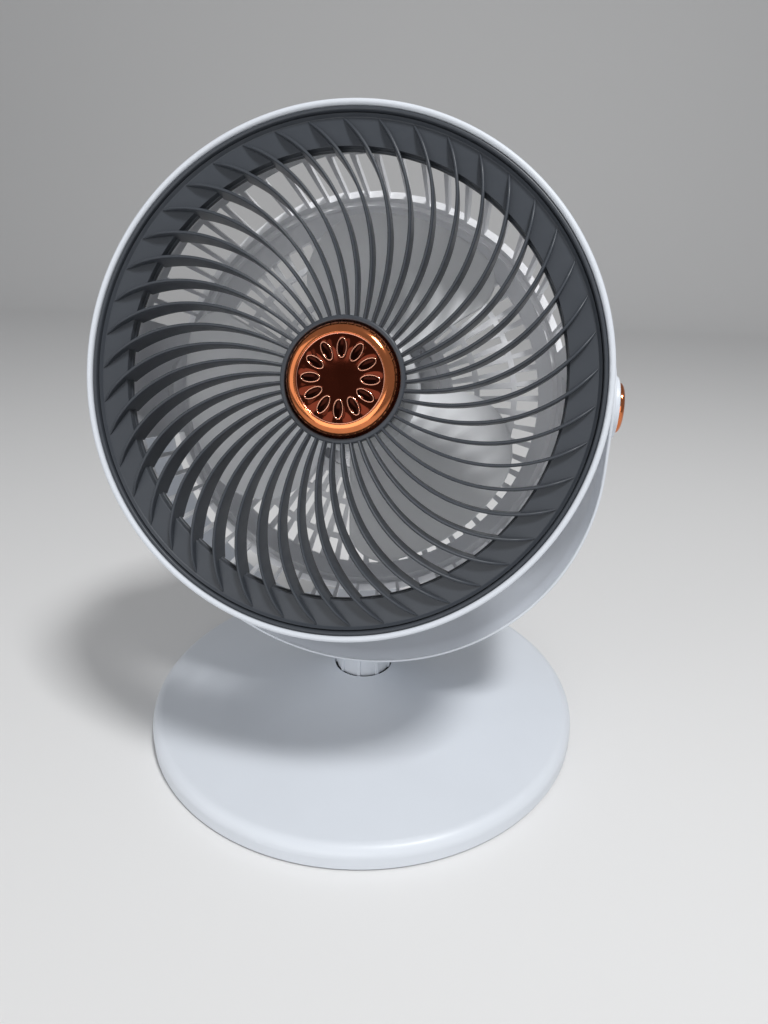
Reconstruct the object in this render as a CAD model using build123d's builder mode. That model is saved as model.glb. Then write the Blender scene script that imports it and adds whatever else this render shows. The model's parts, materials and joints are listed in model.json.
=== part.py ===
from build123d import *

import os
from math import cos, pi, radians, sin, sqrt

# Desk air circulator on a round base.
#
# Frame: millimetres, +Z up. The origin is on the table, under the middle of the
# round base. The fan blows along -Y, so +X is on the right of someone in front.
# The head is drawn at its resting tilt, about the tilt axis, which runs along X.
# In the head, "depth" is the distance in front of the tilt axis along the head's
# own centre line, and "radius" is the distance from that line.

os.makedirs("parts", exist_ok=True)

# ---------------------------------------------------------------- driving sizes
# Clearances
running_clearance = 0.06    # shaft in its bore, all round
fit_gap = 0.2               # between pieces that are pushed together by hand
seat_gap = 0.3              # between a turning piece and what it turns against
thread_clearance = 0.05     # screw in its pilot hole, all round
overcut = 1.0               # how far a cut runs past the face that it opens

# Round base
base_radius = 110.0
base_height = 11.0          # table to the flat part of the top
base_edge_round = 5.0
base_wall = 2.4
foot_stand = 1.0            # how far the feet lift the base
mound_foot_inset = 42.0     # foot of the mound inside the edge of the base
mound_foot_rise = 1.0
mound_top_margin = 3.8      # top of the mound around the neck
mound_height = 13.0         # top of the mound above the flat part
plate_thickness = 2.4

# Feet and base screws
foot_count = 4
foot_radius = 8.0
foot_inset = 18.0           # middle of a foot inside the edge of the base
foot_recess = 1.2
base_screw_count = 3
base_screw_inset = 13.0     # screw inside the edge of the base
base_screw_reach = 3.6      # thread above the base plate
base_boss_radius = 4.0

# Every small screw in the fan
screw_radius = 1.4
screw_head_radius = 2.6
screw_head_height = 1.1
screw_head_round = 0.4

# Ballast under the mound
ballast_inner_radius = 24.0
ballast_clearance = 6.0     # ballast to the control board
ballast_thickness = 5.0
ballast_edge_break = 0.6

# Control board, button and power inlet at the back of the base
board_width = 30.0
board_inset = 6.0           # rear edge inside the edge of the base
board_length = 42.0
board_thickness = 1.0
board_rail_height = 0.6
board_rail_width = 3.0
button_radius = 6.5
button_inset = 32.0         # middle of the button inside the edge of the base
button_proud = 1.0
button_flange = 1.5         # how far the hidden flange is wider than the cap
button_flange_thickness = 0.8
button_stem_radius = 2.2
button_edge_round = 0.6
button_travel = 0.8
switch_side = 6.0
switch_height = 1.6
switch_edge_break = 0.3
inlet_width = 9.0
inlet_height = 3.2
inlet_length = 8.4
inlet_wall = 0.4
inlet_side_flat = 0.2       # straight part of the inlet's two short sides
inlet_recess = 1.6          # mouth behind the outside of the base
inlet_tongue_width = 6.6
inlet_tongue_thickness = 0.7
inlet_tongue_recess = 1.0   # tongue behind the mouth

# Neck, which turns in the base
shaft_radius = 10.0
shaft_bore_radius = 6.5
shaft_foot = 5.4            # height of the lower end above the table
shaft_edge_break = 0.6
socket_wall = 3.5
socket_foot = 8.2
clip_thickness = 1.0
clip_groove_depth = 1.4
clip_width = 3.9
clip_gap_angle = 40.0
swivel_washer_thickness = 0.6
neck_height = 15.5          # top of the mound to the underside of the yoke
collar_radius = 15.2
collar_rib_count = 9
collar_rib_width = 2.2
collar_rib_proud = 0.9
neck_screw_circle = 12.3
neck_screw_reach = 10.0

# Yoke: two upright arms joined by a half circle
yoke_half_width = 107.0     # outside of an arm from the middle
yoke_thickness = 4.0
yoke_wall = 1.6             # outer skin
liner_thickness = 1.2
yoke_width = 44.0           # front to back
yoke_lip = 2.0              # edge of the outer skin beside the liner
arm_drop = 23.0             # straight part of an arm under the tilt axis
arm_clearance = 3.4         # between the head's rim and an arm

# Tilt joint
pin_radius = 4.0
pin_head_radius = 7.0
pin_head_height = 2.6
pin_reach = 12.6            # pin inside the head
bush_radius = 6.5
arm_boss_radius = 13.5
arm_boss_height = 2.0
arm_boss_floor = 0.5
arm_boss_round = 0.8
inner_boss_radius = 8.0
tilt_washer_thickness = 0.7
tilt_washer_radius = 12.0
cap_radius = 10.5
cap_height = 3.9
cap_edge_round = 2.1
cap_wall = 2.1

# Head
rest_tilt = 19.25           # degrees above level
rim_front = 61.2            # depth of the rim's front edge
rim_wall = 2.2
drum_length = 27.2          # rim's front edge to the drum's rear edge

# Front grille. Its depths are steps from the flat band, and its radii from the
# band's outer edge or from the hub.
bead_step = 0.6             # bead behind the rim's front edge
bead_width = 1.6
bead_groove_width = 0.6
band_step = 2.8             # band behind the bead
band_edge_rise = 1.0        # slope where the band turns up
band_edge_land = 0.4        # from that slope to the groove
band_width = 10.6
band_thickness = 2.0
band_lip_depth = 6.8
band_lip_wall = 1.8
skirt_depth = 7.8
rib_count = 45
rib_thickness = 1.3
rib_tip_thickness = 0.3
rib_depth = 7.0             # ribs' rear edges behind the band
rib_root_depth = 3.6        # depth of a rib where it leaves the hub
rib_hub_angle = 1.0         # degrees, where the first rib leaves the hub
rib_middle_reach = 36.0     # middle of a rib outside the hub
rib_middle_turn = 10.2      # degrees turned on the way to the middle
rib_tip_inset = 0.7
rib_tip_turn = 27.3
rib_root_sink = 0.4         # ribs' front edges behind the hub's front edge
rib_inner_rise = -1.2       # ribs' front edges before the band, from hub to tip
rib_crest_rise = 2.4
rib_band_rise = 2.4
rib_inner_reach = 20.0      # outside the hub
rib_crest_inset = 19.0      # inside the band
rib_overlap = 0.5           # ribs run on into the band and the hub by this much
hub_radius = 24.7
hub_sink = 6.1              # hub's front edge behind the band
hub_depth = 6.2
hub_plate = 2.0
hub_ring_wall = 2.0
hub_outer_chamfer = 0.7
hub_inner_chamfer = 0.4

# Ornament in the hub
ornament_edge_sink = 0.6    # disc's edge behind the hub's front edge
ornament_edge_chamfer = 0.6
ornament_ring_width = 4.3   # rounded ring between the edge and the middle
ornament_ring_rise = 4.4    # top of the ring before the edge
ornament_dish_step = 0.9    # slope from the ring down to the flat middle
petal_count = 12
petal_circle = 12.0
petal_length = 7.4
petal_width = 3.6
petal_depth = 0.6

# Rear basket
basket_wall = 2.4
basket_shoulder_step = 2.0  # cone's start behind the drum's rear edge
basket_cone_taper = 9.2     # radius lost from the drum part to the ring
basket_ring_depth = 0.0
basket_ring_height = 3.0
basket_ring_inset = 1.8
basket_back_taper = 8.0     # radius lost from the ring to the back
basket_back = -14.0
side_slot_pitch = 6.0       # degrees
side_slot_width = 7.7
side_slot_margin = 2.6
side_slot_slant = -6.0      # degrees
pad_half_angle = 15.0       # plain wall beside each tilt boss, in degrees
row_shares = (2, 3, 2)      # lengths of the slots in the three rows, as shares
row_bar = 2.5               # ring bar between two rows of slots
row_inner_gap = 1.3         # first row outside the motor's seat
row_outer_gap = 1.5         # last row inside the basket's corner
row_slot_count = 68
row_slot_bar = 2.2          # bar between two slots of one row
tilt_boss_radius = 13.0
tilt_boss_floor = 3.0
lip_screw_depth = 42.0
lip_screw_count = 4
lip_boss_radius = 3.6
lip_boss_height = 3.4
lip_screw_length = 6.4

# Motor and its cover
seat_width = 12.5           # seat outside the motor
seat_rim_height = 6.0
seat_rim_width = 4.2
motor_radius = 26.0
motor_wall = 1.2
motor_front = 5.0
motor_back = -30.0
motor_flange_thickness = 1.8
motor_screw_offset = 4.2    # outside the motor
motor_screw_count = 4
bearing_radius = 6.5
bearing_width = 5.0
bearing_housing_wall = 1.5
bearing_edge_break = 0.4
axle_radius = 3.0
axle_end_gap = 1.4          # before the back of the motor
axle_front_recess = 1.0     # behind the front of the impeller
axle_end_break = 0.4
axle_opening_gap = 1.5
stator_front = -2.5
stator_back = -20.5
stator_ring_width = 4.0
pole_count = 6
pole_width = 5.0
coil_thickness = 1.6
coil_end_gap = 1.05
rotor_radius = 13.4
rotor_gap = 0.6
cover_flange_width = 5.1
cover_wall = 2.0
cover_back = -42.0
cover_round = 8.0
cover_flange = 2.0
cover_screw_count = 3
cover_screw_inset = 2.4     # inside the motor's seat
cover_screw_reach = 4.6     # thread before the cover's flange
cover_slot_count = 16
cover_slot_width = 2.0
cover_slot_length = 9.0
cover_slot_circle = 15.0

# Impeller
blade_tip_gap = 9.8         # inside the basket's ring
impeller_hub_radius = 27.0
impeller_hub_front = 34.0
impeller_hub_back = 12.0
impeller_hub_wall = 2.4
impeller_hub_round = 4.0
impeller_boss_radius = 7.0
nut_recess_radius = 9.0
nut_recess_depth = 5.0
nut_width = 10.0            # across flats
nut_height = 4.4
blade_count = 3
blade_first_angle = 33.0    # degrees, front edge of the first blade
blade_span = 90.0           # degrees from front edge to rear edge
blade_front_step = 1.0      # blade's two edges inside the ends of the hub
blade_back_step = 1.5
blade_thickness = 2.2
blade_front_round = 14.0
blade_back_round = 26.0

# ------------------------------------------------------------- derived positions
mound_foot_radius = base_radius - mound_foot_inset
mound_top_radius = collar_radius + mound_top_margin
foot_circle = base_radius - foot_inset
base_screw_circle = base_radius - base_screw_inset
button_distance = base_radius - button_inset
board_front = base_radius - board_inset - board_length
ballast_outer_radius = board_front - ballast_clearance
plate_top = foot_stand + plate_thickness
mound_top = base_height + mound_height
board_top = plate_top + board_rail_height + board_thickness
switch_top = board_top + switch_height
collar_foot = mound_top + swivel_washer_thickness + seat_gap
bend_height = mound_top + neck_height + yoke_half_width
pivot_height = bend_height + arm_drop
yoke_inner = yoke_half_width - yoke_thickness
pocket_floor = yoke_half_width - yoke_wall
arm_boss_face = yoke_half_width + arm_boss_height
pin_seat = yoke_half_width + arm_boss_floor
tilt_boss_face = yoke_inner - tilt_washer_thickness - seat_gap
liner_outer = yoke_inner + liner_thickness
bore_radius = pin_radius + running_clearance
rim_radius = yoke_inner - arm_clearance
drum_inner = rim_radius - rim_wall
drum_back = rim_front - drum_length
grille_edge = drum_inner - fit_gap
bead_inner = grille_edge - bead_width
bead_front = rim_front - bead_step
band_front = bead_front - band_step
band_edge_radius = bead_inner - bead_groove_width - band_edge_land
band_inner_radius = band_edge_radius - band_width
skirt_back = band_front - skirt_depth
rib_back = band_front - rib_depth
rib_tip_radius = band_edge_radius - rib_tip_inset
hub_front = band_front - hub_sink
hub_back = hub_front - hub_depth
ornament_edge_front = hub_front - ornament_edge_sink
ornament_front = ornament_edge_front + ornament_ring_rise
ornament_dish_front = ornament_front - ornament_dish_step
basket_shoulder = drum_back - basket_shoulder_step
basket_ring_radius = grille_edge - basket_cone_taper
basket_corner_radius = basket_ring_radius - basket_back_taper
ring_inner = basket_ring_radius - basket_wall
seat_hole_radius = motor_radius + seat_gap
seat_radius = motor_radius + seat_width
row_first_radius = seat_radius + row_inner_gap
row_last_radius = basket_corner_radius - row_outer_gap
motor_screw_circle = motor_radius + motor_screw_offset
cover_radius = seat_radius - cover_flange_width
cover_screw_circle = seat_radius - cover_screw_inset
axle_back = motor_back + axle_end_gap
axle_front = impeller_hub_front - axle_front_recess
impeller_radius = ring_inner - basket_ring_inset - blade_tip_gap
blade_front = impeller_hub_front - blade_front_step
blade_back = impeller_hub_back + blade_back_step

# ------------------------------------------------------------------ head's frame
tilt_cos = cos(radians(rest_tilt))
tilt_sin = sin(radians(rest_tilt))
pivot = Vector(0, 0, pivot_height)
forward = Vector(0, -tilt_cos, tilt_sin)
upward = Vector(0, tilt_sin, tilt_cos)
head_plane = Plane(origin=pivot, x_dir=(1, 0, 0), z_dir=forward)
head_section = Plane(origin=pivot, x_dir=(1, 0, 0), z_dir=upward * -1)
head_axis = Axis(pivot, forward)


def head_level(depth):
    """Plane across the head's centre line at this depth."""
    return head_plane.offset(depth)


def outward(angle):
    """Direction away from the head's centre line, counter-clockwise from +X."""
    return Vector(1, 0, 0) * cos(radians(angle)) + upward * sin(radians(angle))


def side_plane(angle, radius, depth):
    """Plane on the side of the head that faces outwards at this angle."""
    origin = pivot + forward * depth + outward(angle) * radius
    return Plane(origin=origin, x_dir=forward, z_dir=outward(angle))


def radial_section(angle):
    """Plane through the head's centre line: x is radius, y is depth."""
    return Plane(origin=pivot, x_dir=outward(angle), z_dir=outward(angle).cross(forward))


def polar(radius, angle):
    """Point of a flat drawing at this radius and angle."""
    return (radius * cos(radians(angle)), radius * sin(radians(angle)))


def screw(plane, reach):
    """Pan-head screw: the head's underside lies on the plane, the shank under it."""
    with BuildPart() as screw_body:
        with BuildSketch(plane):
            Circle(screw_head_radius)
        extrude(amount=screw_head_height)
        fillet(screw_body.faces().sort_by(Axis(plane.origin, plane.z_dir))[-1].edges(), screw_head_round)
        with BuildSketch(plane):
            Circle(screw_radius)
        extrude(amount=-reach)
    return screw_body.part


# ------------------------------------------------------------------- round base
def base_outline(inset):
    """Half section of the base's cover, with its outside moved inwards."""
    edge = base_radius - inset
    top = base_height - inset
    curve = base_edge_round - inset
    foot = (mound_foot_radius, top + mound_foot_rise)
    with BuildSketch(Plane.XZ) as outline:
        with BuildLine():
            Polyline((0, foot_stand), (edge, foot_stand), (edge, top - curve))
            CenterArc((edge - curve, top - curve), curve, 0, 90)
            flat = Line((edge - curve, top), foot)
            TangentArc(foot, (mound_top_radius, top + mound_height), tangent=flat % 1)
            Polyline((mound_top_radius, top + mound_height), (0, top + mound_height), (0, foot_stand))
        make_face()
    return outline.sketch


def cover_top(distance):
    """Height of the base's top outside the mound."""
    fall = (distance - mound_foot_radius) / (base_radius - base_edge_round - mound_foot_radius)
    return base_height + mound_foot_rise * (1 - fall)


base_screw_spots = PolarLocations(base_screw_circle, base_screw_count, start_angle=-90)
foot_spots = PolarLocations(foot_circle, foot_count, start_angle=45)
button_flange_top = cover_top(button_distance + button_radius + button_flange) - base_wall - seat_gap
inlet_floor = board_top
inlet_mouth = base_radius - inlet_recess

with BuildPart() as base_cover:
    add(base_outline(0))
    revolve(axis=Axis.Z)
    add(base_outline(base_wall))
    revolve(axis=Axis.Z, mode=Mode.SUBTRACT)
    with BuildSketch(Plane.XY.offset(socket_foot)):
        Circle(shaft_radius + running_clearance + socket_wall)
    extrude(until=Until.NEXT)
    with BuildSketch(Plane.XY.offset(plate_top)):
        with base_screw_spots:
            Circle(base_boss_radius)
    extrude(until=Until.NEXT)
    with BuildSketch(Plane.XY.offset(plate_top)):
        with base_screw_spots:
            Circle(screw_radius + thread_clearance)
    extrude(amount=base_screw_reach + fit_gap, mode=Mode.SUBTRACT)
    with BuildSketch():
        Circle(shaft_radius + running_clearance)
    extrude(amount=mound_top + overcut, mode=Mode.SUBTRACT)
    with BuildSketch(Plane.XY.offset(plate_top)):
        with Locations((0, button_distance)):
            Circle(button_radius + fit_gap)
    extrude(amount=base_height + mound_height, mode=Mode.SUBTRACT)
    with BuildSketch(Plane.XZ.offset(-(inlet_mouth - inlet_length / 2))):
        with Locations((0, inlet_floor + inlet_height / 2)):
            RectangleRounded(inlet_width + 2 * fit_gap, inlet_height + 2 * fit_gap, inlet_height / 2)
    extrude(amount=-inlet_length, mode=Mode.SUBTRACT)
base_cover.part.label = "base_cover"
export_step(base_cover.part, "parts/base_cover.step")

with BuildPart() as base_bottom_plate:
    with BuildSketch(Plane.XY.offset(foot_stand)):
        Circle(base_radius - base_wall - fit_gap)
    extrude(amount=plate_thickness)
    with BuildSketch(Plane.XY.offset(foot_stand)):
        with foot_spots:
            Circle(foot_radius + fit_gap)
    extrude(amount=foot_recess, mode=Mode.SUBTRACT)
    with BuildSketch(Plane.XY.offset(foot_stand)):
        with base_screw_spots:
            Circle(screw_head_radius + fit_gap)
    extrude(amount=screw_head_height + fit_gap, mode=Mode.SUBTRACT)
    with BuildSketch(Plane.XY.offset(foot_stand)):
        with base_screw_spots:
            Circle(screw_radius + fit_gap)
    extrude(amount=plate_thickness, mode=Mode.SUBTRACT)
    with BuildSketch(Plane.XY.offset(plate_top)):
        with Locations((0, board_front + board_rail_width),
                       (0, board_front + board_length - board_rail_width)):
            Rectangle(board_width, board_rail_width)
    extrude(amount=board_rail_height)
base_bottom_plate.part.label = "base_bottom_plate"
export_step(base_bottom_plate.part, "parts/base_bottom_plate.step")

with BuildPart() as rubber_feet:
    with BuildSketch():
        with foot_spots:
            Circle(foot_radius)
    extrude(amount=foot_stand + foot_recess)
    chamfer(rubber_feet.faces().sort_by(Axis.Z)[:foot_count].edges(), foot_stand / 2)
rubber_feet.part.label = "rubber_feet"
export_step(rubber_feet.part, "parts/rubber_feet.step")

with BuildPart() as base_screws:
    for spot in base_screw_spots:
        head_seat = foot_stand + screw_head_height + fit_gap
        seat = Plane(origin=spot.position + Vector(0, 0, head_seat), x_dir=(1, 0, 0), z_dir=(0, 0, -1))
        add(screw(seat, plate_top + base_screw_reach - head_seat))
base_screws.part.label = "base_screws"
export_step(base_screws.part, "parts/base_screws.step")

with BuildPart() as ballast_ring:
    with BuildSketch(Plane.XY.offset(plate_top)):
        Circle(ballast_outer_radius)
        Circle(ballast_inner_radius, mode=Mode.SUBTRACT)
    extrude(amount=ballast_thickness)
    chamfer(ballast_ring.edges().group_by(Axis.Z)[-1], ballast_edge_break)
ballast_ring.part.label = "ballast_ring"
export_step(ballast_ring.part, "parts/ballast_ring.step")

with BuildPart() as control_board:
    with BuildSketch(Plane.XY.offset(plate_top + board_rail_height)):
        with Locations((0, board_front + board_length / 2)):
            Rectangle(board_width, board_length)
    extrude(amount=board_thickness)
control_board.part.label = "control_board"
export_step(control_board.part, "parts/control_board.step")

with BuildPart() as button_switch:
    with BuildSketch(Plane.XY.offset(board_top)):
        with Locations((0, button_distance)):
            Rectangle(switch_side, switch_side)
    extrude(amount=switch_height)
    chamfer(button_switch.edges().group_by(Axis.Z)[-1], switch_edge_break)
button_switch.part.label = "button_switch"
export_step(button_switch.part, "parts/button_switch.step")

with BuildPart() as power_inlet:
    with BuildSketch(Plane.XZ.offset(-inlet_mouth)):
        with Locations((0, inlet_floor + inlet_height / 2)):
            RectangleRounded(inlet_width, inlet_height, (inlet_height - inlet_side_flat) / 2)
    extrude(amount=inlet_length)
    with BuildSketch(Plane.XZ.offset(-inlet_mouth)):
        with Locations((0, inlet_floor + inlet_height / 2)):
            RectangleRounded(inlet_width - 2 * inlet_wall, inlet_height - 2 * inlet_wall,
                             (inlet_height - inlet_side_flat) / 2 - inlet_wall)
    extrude(amount=inlet_length - inlet_wall, mode=Mode.SUBTRACT)
    with BuildSketch(Plane.XZ.offset(-(inlet_mouth - inlet_length))):
        with Locations((0, inlet_floor + inlet_height / 2)):
            Rectangle(inlet_tongue_width, inlet_tongue_thickness)
    extrude(amount=-(inlet_length - inlet_tongue_recess))
power_inlet.part.label = "power_inlet"
export_step(power_inlet.part, "parts/power_inlet.step")

button_top = cover_top(button_distance) + button_proud
with BuildPart() as power_button:
    with BuildSketch(Plane.XY.offset(button_flange_top - button_flange_thickness)):
        with Locations((0, button_distance)):
            Circle(button_radius + button_flange)
    extrude(amount=button_flange_thickness)
    with BuildSketch(Plane.XY.offset(button_flange_top)):
        with Locations((0, button_distance)):
            Circle(button_radius)
    extrude(amount=button_top - button_flange_top)
    fillet(power_button.edges().group_by(Axis.Z)[-1], button_edge_round)
    with BuildSketch(Plane.XY.offset(switch_top + button_travel + fit_gap / 2)):
        with Locations((0, button_distance)):
            Circle(button_stem_radius)
    extrude(until=Until.NEXT)
power_button.part.label = "power_button"
export_step(power_button.part, "parts/power_button.step")

with BuildPart() as swivel_washer:
    with BuildSketch(Plane.XY.offset(mound_top)):
        Circle(collar_radius - fit_gap)
        Circle(shaft_radius + fit_gap, mode=Mode.SUBTRACT)
    extrude(amount=swivel_washer_thickness)
swivel_washer.part.label = "swivel_washer"
export_step(swivel_washer.part, "parts/swivel_washer.step")

# ------------------------------------------------------------------------- neck
collar_top = bend_height - sqrt((yoke_half_width + fit_gap / 2) ** 2 - collar_radius ** 2)
yoke_floor = bend_height - pocket_floor
clip_top = socket_foot - seat_gap
neck_screw_spots = [(0, neck_screw_circle), (0, -neck_screw_circle)]

with BuildPart() as neck_collar:
    with BuildSketch(Plane.XY.offset(shaft_foot)):
        Circle(shaft_radius)
    extrude(amount=collar_foot - shaft_foot)
    chamfer(neck_collar.edges().group_by(Axis.Z)[0], shaft_edge_break)
    with BuildSketch(Plane.XY.offset(collar_foot)):
        Circle(collar_radius)
    extrude(amount=collar_top + overcut - collar_foot)
    with BuildSketch(Plane.XY.offset(mound_top + seat_gap)):
        with PolarLocations(collar_radius + collar_rib_proud / 2, collar_rib_count, start_angle=-90):
            Rectangle(collar_rib_proud + fit_gap, collar_rib_width)
    extrude(amount=collar_top + overcut - mound_top - seat_gap)
    with BuildSketch(Plane.XZ):
        with Locations((0, bend_height)):
            Circle(yoke_half_width + fit_gap / 2)
    extrude(amount=yoke_width, both=True, mode=Mode.SUBTRACT)
    with BuildSketch(Plane.XY.offset(shaft_foot)):
        Circle(shaft_bore_radius)
    extrude(amount=collar_top + overcut - shaft_foot, mode=Mode.SUBTRACT)
    with BuildSketch(Plane.XY.offset(clip_top - clip_thickness - fit_gap / 2)):
        Circle(shaft_radius + overcut)
        Circle(shaft_radius - clip_groove_depth, mode=Mode.SUBTRACT)
    extrude(amount=clip_thickness + fit_gap, mode=Mode.SUBTRACT)
    with BuildSketch(Plane.XY.offset(yoke_floor - neck_screw_reach - fit_gap)):
        with Locations(*neck_screw_spots):
            Circle(screw_radius + thread_clearance)
    extrude(amount=neck_screw_reach, mode=Mode.SUBTRACT)
neck_collar.part.label = "neck_collar"
export_step(neck_collar.part, "parts/neck_collar.step")

with BuildPart() as swivel_clip:
    with BuildSketch(Plane.XY.offset(clip_top - clip_thickness)):
        Circle(shaft_radius - clip_groove_depth + clip_width)
        Circle(shaft_radius - clip_groove_depth + fit_gap / 2, mode=Mode.SUBTRACT)
        with BuildLine():
            far = 2 * shaft_radius
            Polyline((0, 0), polar(far, 90 - clip_gap_angle / 2),
                     polar(far, 90 + clip_gap_angle / 2), (0, 0))
        make_face(mode=Mode.SUBTRACT)
    extrude(amount=clip_thickness)
swivel_clip.part.label = "swivel_clip"
export_step(swivel_clip.part, "parts/swivel_clip.step")

with BuildPart() as neck_screws:
    for x, y in neck_screw_spots:
        add(screw(Plane.XY.offset(yoke_floor + fit_gap / 2).move(Location((x, y, 0))), neck_screw_reach))
neck_screws.part.label = "neck_screws"
export_step(neck_screws.part, "parts/neck_screws.step")


# ------------------------------------------------------------------------- yoke
def yoke_strip(outer, inner, width):
    """U-shaped strip with round tops about the tilt axis."""
    top = pivot_height + width / 2
    with BuildPart() as strip:
        with BuildSketch(Plane.XZ):
            with BuildLine():
                Line((-outer, top), (-outer, bend_height))
                ThreePointArc((-outer, bend_height), (0, bend_height - outer), (outer, bend_height))
                Polyline((outer, bend_height), (outer, top), (inner, top), (inner, bend_height))
                ThreePointArc((inner, bend_height), (0, bend_height - inner), (-inner, bend_height))
                Polyline((-inner, bend_height), (-inner, top), (-outer, top))
            make_face()
        extrude(amount=width / 2, both=True)
        with BuildSketch(Plane.YZ):
            with Locations((0, pivot_height)):
                Circle(width / 2)
                Rectangle(width, pivot_height, align=(Align.CENTER, Align.MAX))
        extrude(amount=outer + overcut, both=True, mode=Mode.INTERSECT)
    return strip.part


def tilt_discs(radius, start, end):
    """Disc on the tilt axis at each arm, between two distances from the middle."""
    with BuildPart() as discs:
        for side in (1, -1):
            with BuildSketch(Plane(origin=(side * start, 0, pivot_height), z_dir=(side, 0, 0))):
                Circle(radius)
            extrude(amount=end - start)
    return discs.part


with BuildPart() as yoke_bracket:
    add(yoke_strip(yoke_half_width, yoke_inner, yoke_width))
    add(yoke_strip(pocket_floor, yoke_inner - overcut, yoke_width - 2 * yoke_lip), mode=Mode.SUBTRACT)
    add(tilt_discs(arm_boss_radius, yoke_half_width - yoke_wall / 2, arm_boss_face))
    add(tilt_discs(inner_boss_radius, yoke_inner, pocket_floor + yoke_wall / 2))
    add(tilt_discs(pin_head_radius + fit_gap, pin_seat, arm_boss_face), mode=Mode.SUBTRACT)
    add(tilt_discs(pin_radius + thread_clearance, yoke_inner, arm_boss_face), mode=Mode.SUBTRACT)
    boss_rims = yoke_bracket.edges().filter_by(GeomType.CIRCLE).group_by(Axis.X)
    fillet([rims.sort_by(SortBy.LENGTH)[-1] for rims in (boss_rims[0], boss_rims[-1])], arm_boss_round)
    with BuildSketch(Plane.XY.offset(bend_height - yoke_half_width - overcut)):
        Circle(shaft_bore_radius)
        with Locations(*neck_screw_spots):
            Circle(screw_radius + fit_gap)
    extrude(amount=yoke_thickness + overcut, mode=Mode.SUBTRACT)
yoke_bracket.part.label = "yoke_bracket"
export_step(yoke_bracket.part, "parts/yoke_bracket.step")

with BuildPart() as yoke_liner:
    add(yoke_strip(liner_outer, yoke_inner, yoke_width - 2 * yoke_lip - 2 * fit_gap))
    add(tilt_discs(inner_boss_radius + fit_gap, yoke_inner - overcut, liner_outer + overcut),
        mode=Mode.SUBTRACT)
yoke_liner.part.label = "yoke_liner"
export_step(yoke_liner.part, "parts/yoke_liner.step")

with BuildPart() as tilt_washers:
    add(tilt_discs(tilt_washer_radius, yoke_inner - tilt_washer_thickness, yoke_inner))
    add(tilt_discs(pin_radius + fit_gap, yoke_inner - tilt_washer_thickness, yoke_inner),
        mode=Mode.SUBTRACT)
tilt_washers.part.label = "tilt_washers"
export_step(tilt_washers.part, "parts/tilt_washers.step")

with BuildPart() as pivot_pins:
    add(tilt_discs(pin_radius, tilt_boss_face - pin_reach, pin_seat))
    add(tilt_discs(pin_head_radius, pin_seat, pin_seat + pin_head_height))
pivot_pins.part.label = "pivot_pins"
export_step(pivot_pins.part, "parts/pivot_pins.step")


def pivot_cap(side):
    """Rounded cap over the head of a tilt pin."""
    foot = Plane(origin=(side * (arm_boss_face + thread_clearance), 0, pivot_height), z_dir=(side, 0, 0))
    with BuildPart() as cap:
        with BuildSketch(foot):
            Circle(cap_radius)
        extrude(amount=cap_height)
        fillet(cap.faces().sort_by(Axis(foot.origin, foot.z_dir))[-1].edges(), cap_edge_round)
        with BuildSketch(foot):
            Circle(cap_radius - cap_wall)
        extrude(amount=pin_head_height - arm_boss_height + arm_boss_floor + fit_gap, mode=Mode.SUBTRACT)
    return cap


pivot_cap_right = pivot_cap(1)
pivot_cap_right.part.label = "pivot_cap_right"
export_step(pivot_cap_right.part, "parts/pivot_cap_right.step")

pivot_cap_left = pivot_cap(-1)
pivot_cap_left.part.label = "pivot_cap_left"
export_step(pivot_cap_left.part, "parts/pivot_cap_left.step")

# ------------------------------------------------------------ head: drum and rim
lip_screw_angles = [45 + 360 / lip_screw_count * k for k in range(lip_screw_count)]
rim_round = rim_wall / 2 - thread_clearance

with BuildPart() as drum_shell:
    with BuildSketch(head_level(drum_back)):
        Circle(rim_radius)
        Circle(drum_inner, mode=Mode.SUBTRACT)
    extrude(amount=rim_front - drum_back)
    fillet(drum_shell.faces().sort_by(head_axis)[-1].edges(), rim_round)
    for angle in lip_screw_angles:
        with BuildSketch(side_plane(angle, drum_inner - overcut, lip_screw_depth)):
            Circle(screw_radius + fit_gap)
        extrude(amount=rim_wall + 2 * overcut, mode=Mode.SUBTRACT)
        with BuildSketch(side_plane(angle, rim_radius - screw_head_height, lip_screw_depth)):
            Circle(screw_head_radius + fit_gap)
        extrude(amount=screw_head_height + overcut, mode=Mode.SUBTRACT)
drum_shell.part.label = "drum_shell"
export_step(drum_shell.part, "parts/drum_shell.step")

with BuildPart() as housing_screws:
    for angle in lip_screw_angles:
        add(screw(side_plane(angle, rim_radius - screw_head_height, lip_screw_depth), lip_screw_length))
housing_screws.part.label = "housing_screws"
export_step(housing_screws.part, "parts/housing_screws.step")

# ------------------------------------------------------------ head: front grille
rib_root_radius = hub_radius - hub_ring_wall / 2
rib_root_front = hub_front - rib_root_sink
rib_root_back = rib_root_front - rib_root_depth
rib_root_half = rib_thickness / 2
rib_tip_half = rib_tip_thickness / 2
rib_spine = ThreePointArc(
    polar(rib_root_radius, rib_hub_angle),
    polar(hub_radius + rib_middle_reach, rib_hub_angle + rib_middle_turn),
    polar(rib_tip_radius, rib_hub_angle + rib_tip_turn),
)


def beside_rib(share, half):
    """Point beside the rib's middle line, at this share of its length."""
    along = rib_spine % share
    return rib_spine @ share + Vector(-along.Y, along.X) * half


with BuildSketch() as rib_outline:
    with BuildLine():
        Line(beside_rib(0, -rib_root_half), beside_rib(0, rib_root_half))
        ThreePointArc(beside_rib(0, rib_root_half), beside_rib(0.5, rib_root_half),
                      beside_rib(1, rib_tip_half))
        Line(beside_rib(1, rib_tip_half), beside_rib(1, -rib_tip_half))
        ThreePointArc(beside_rib(1, -rib_tip_half), beside_rib(0.5, -rib_root_half),
                      beside_rib(0, -rib_root_half))
    make_face()

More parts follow.
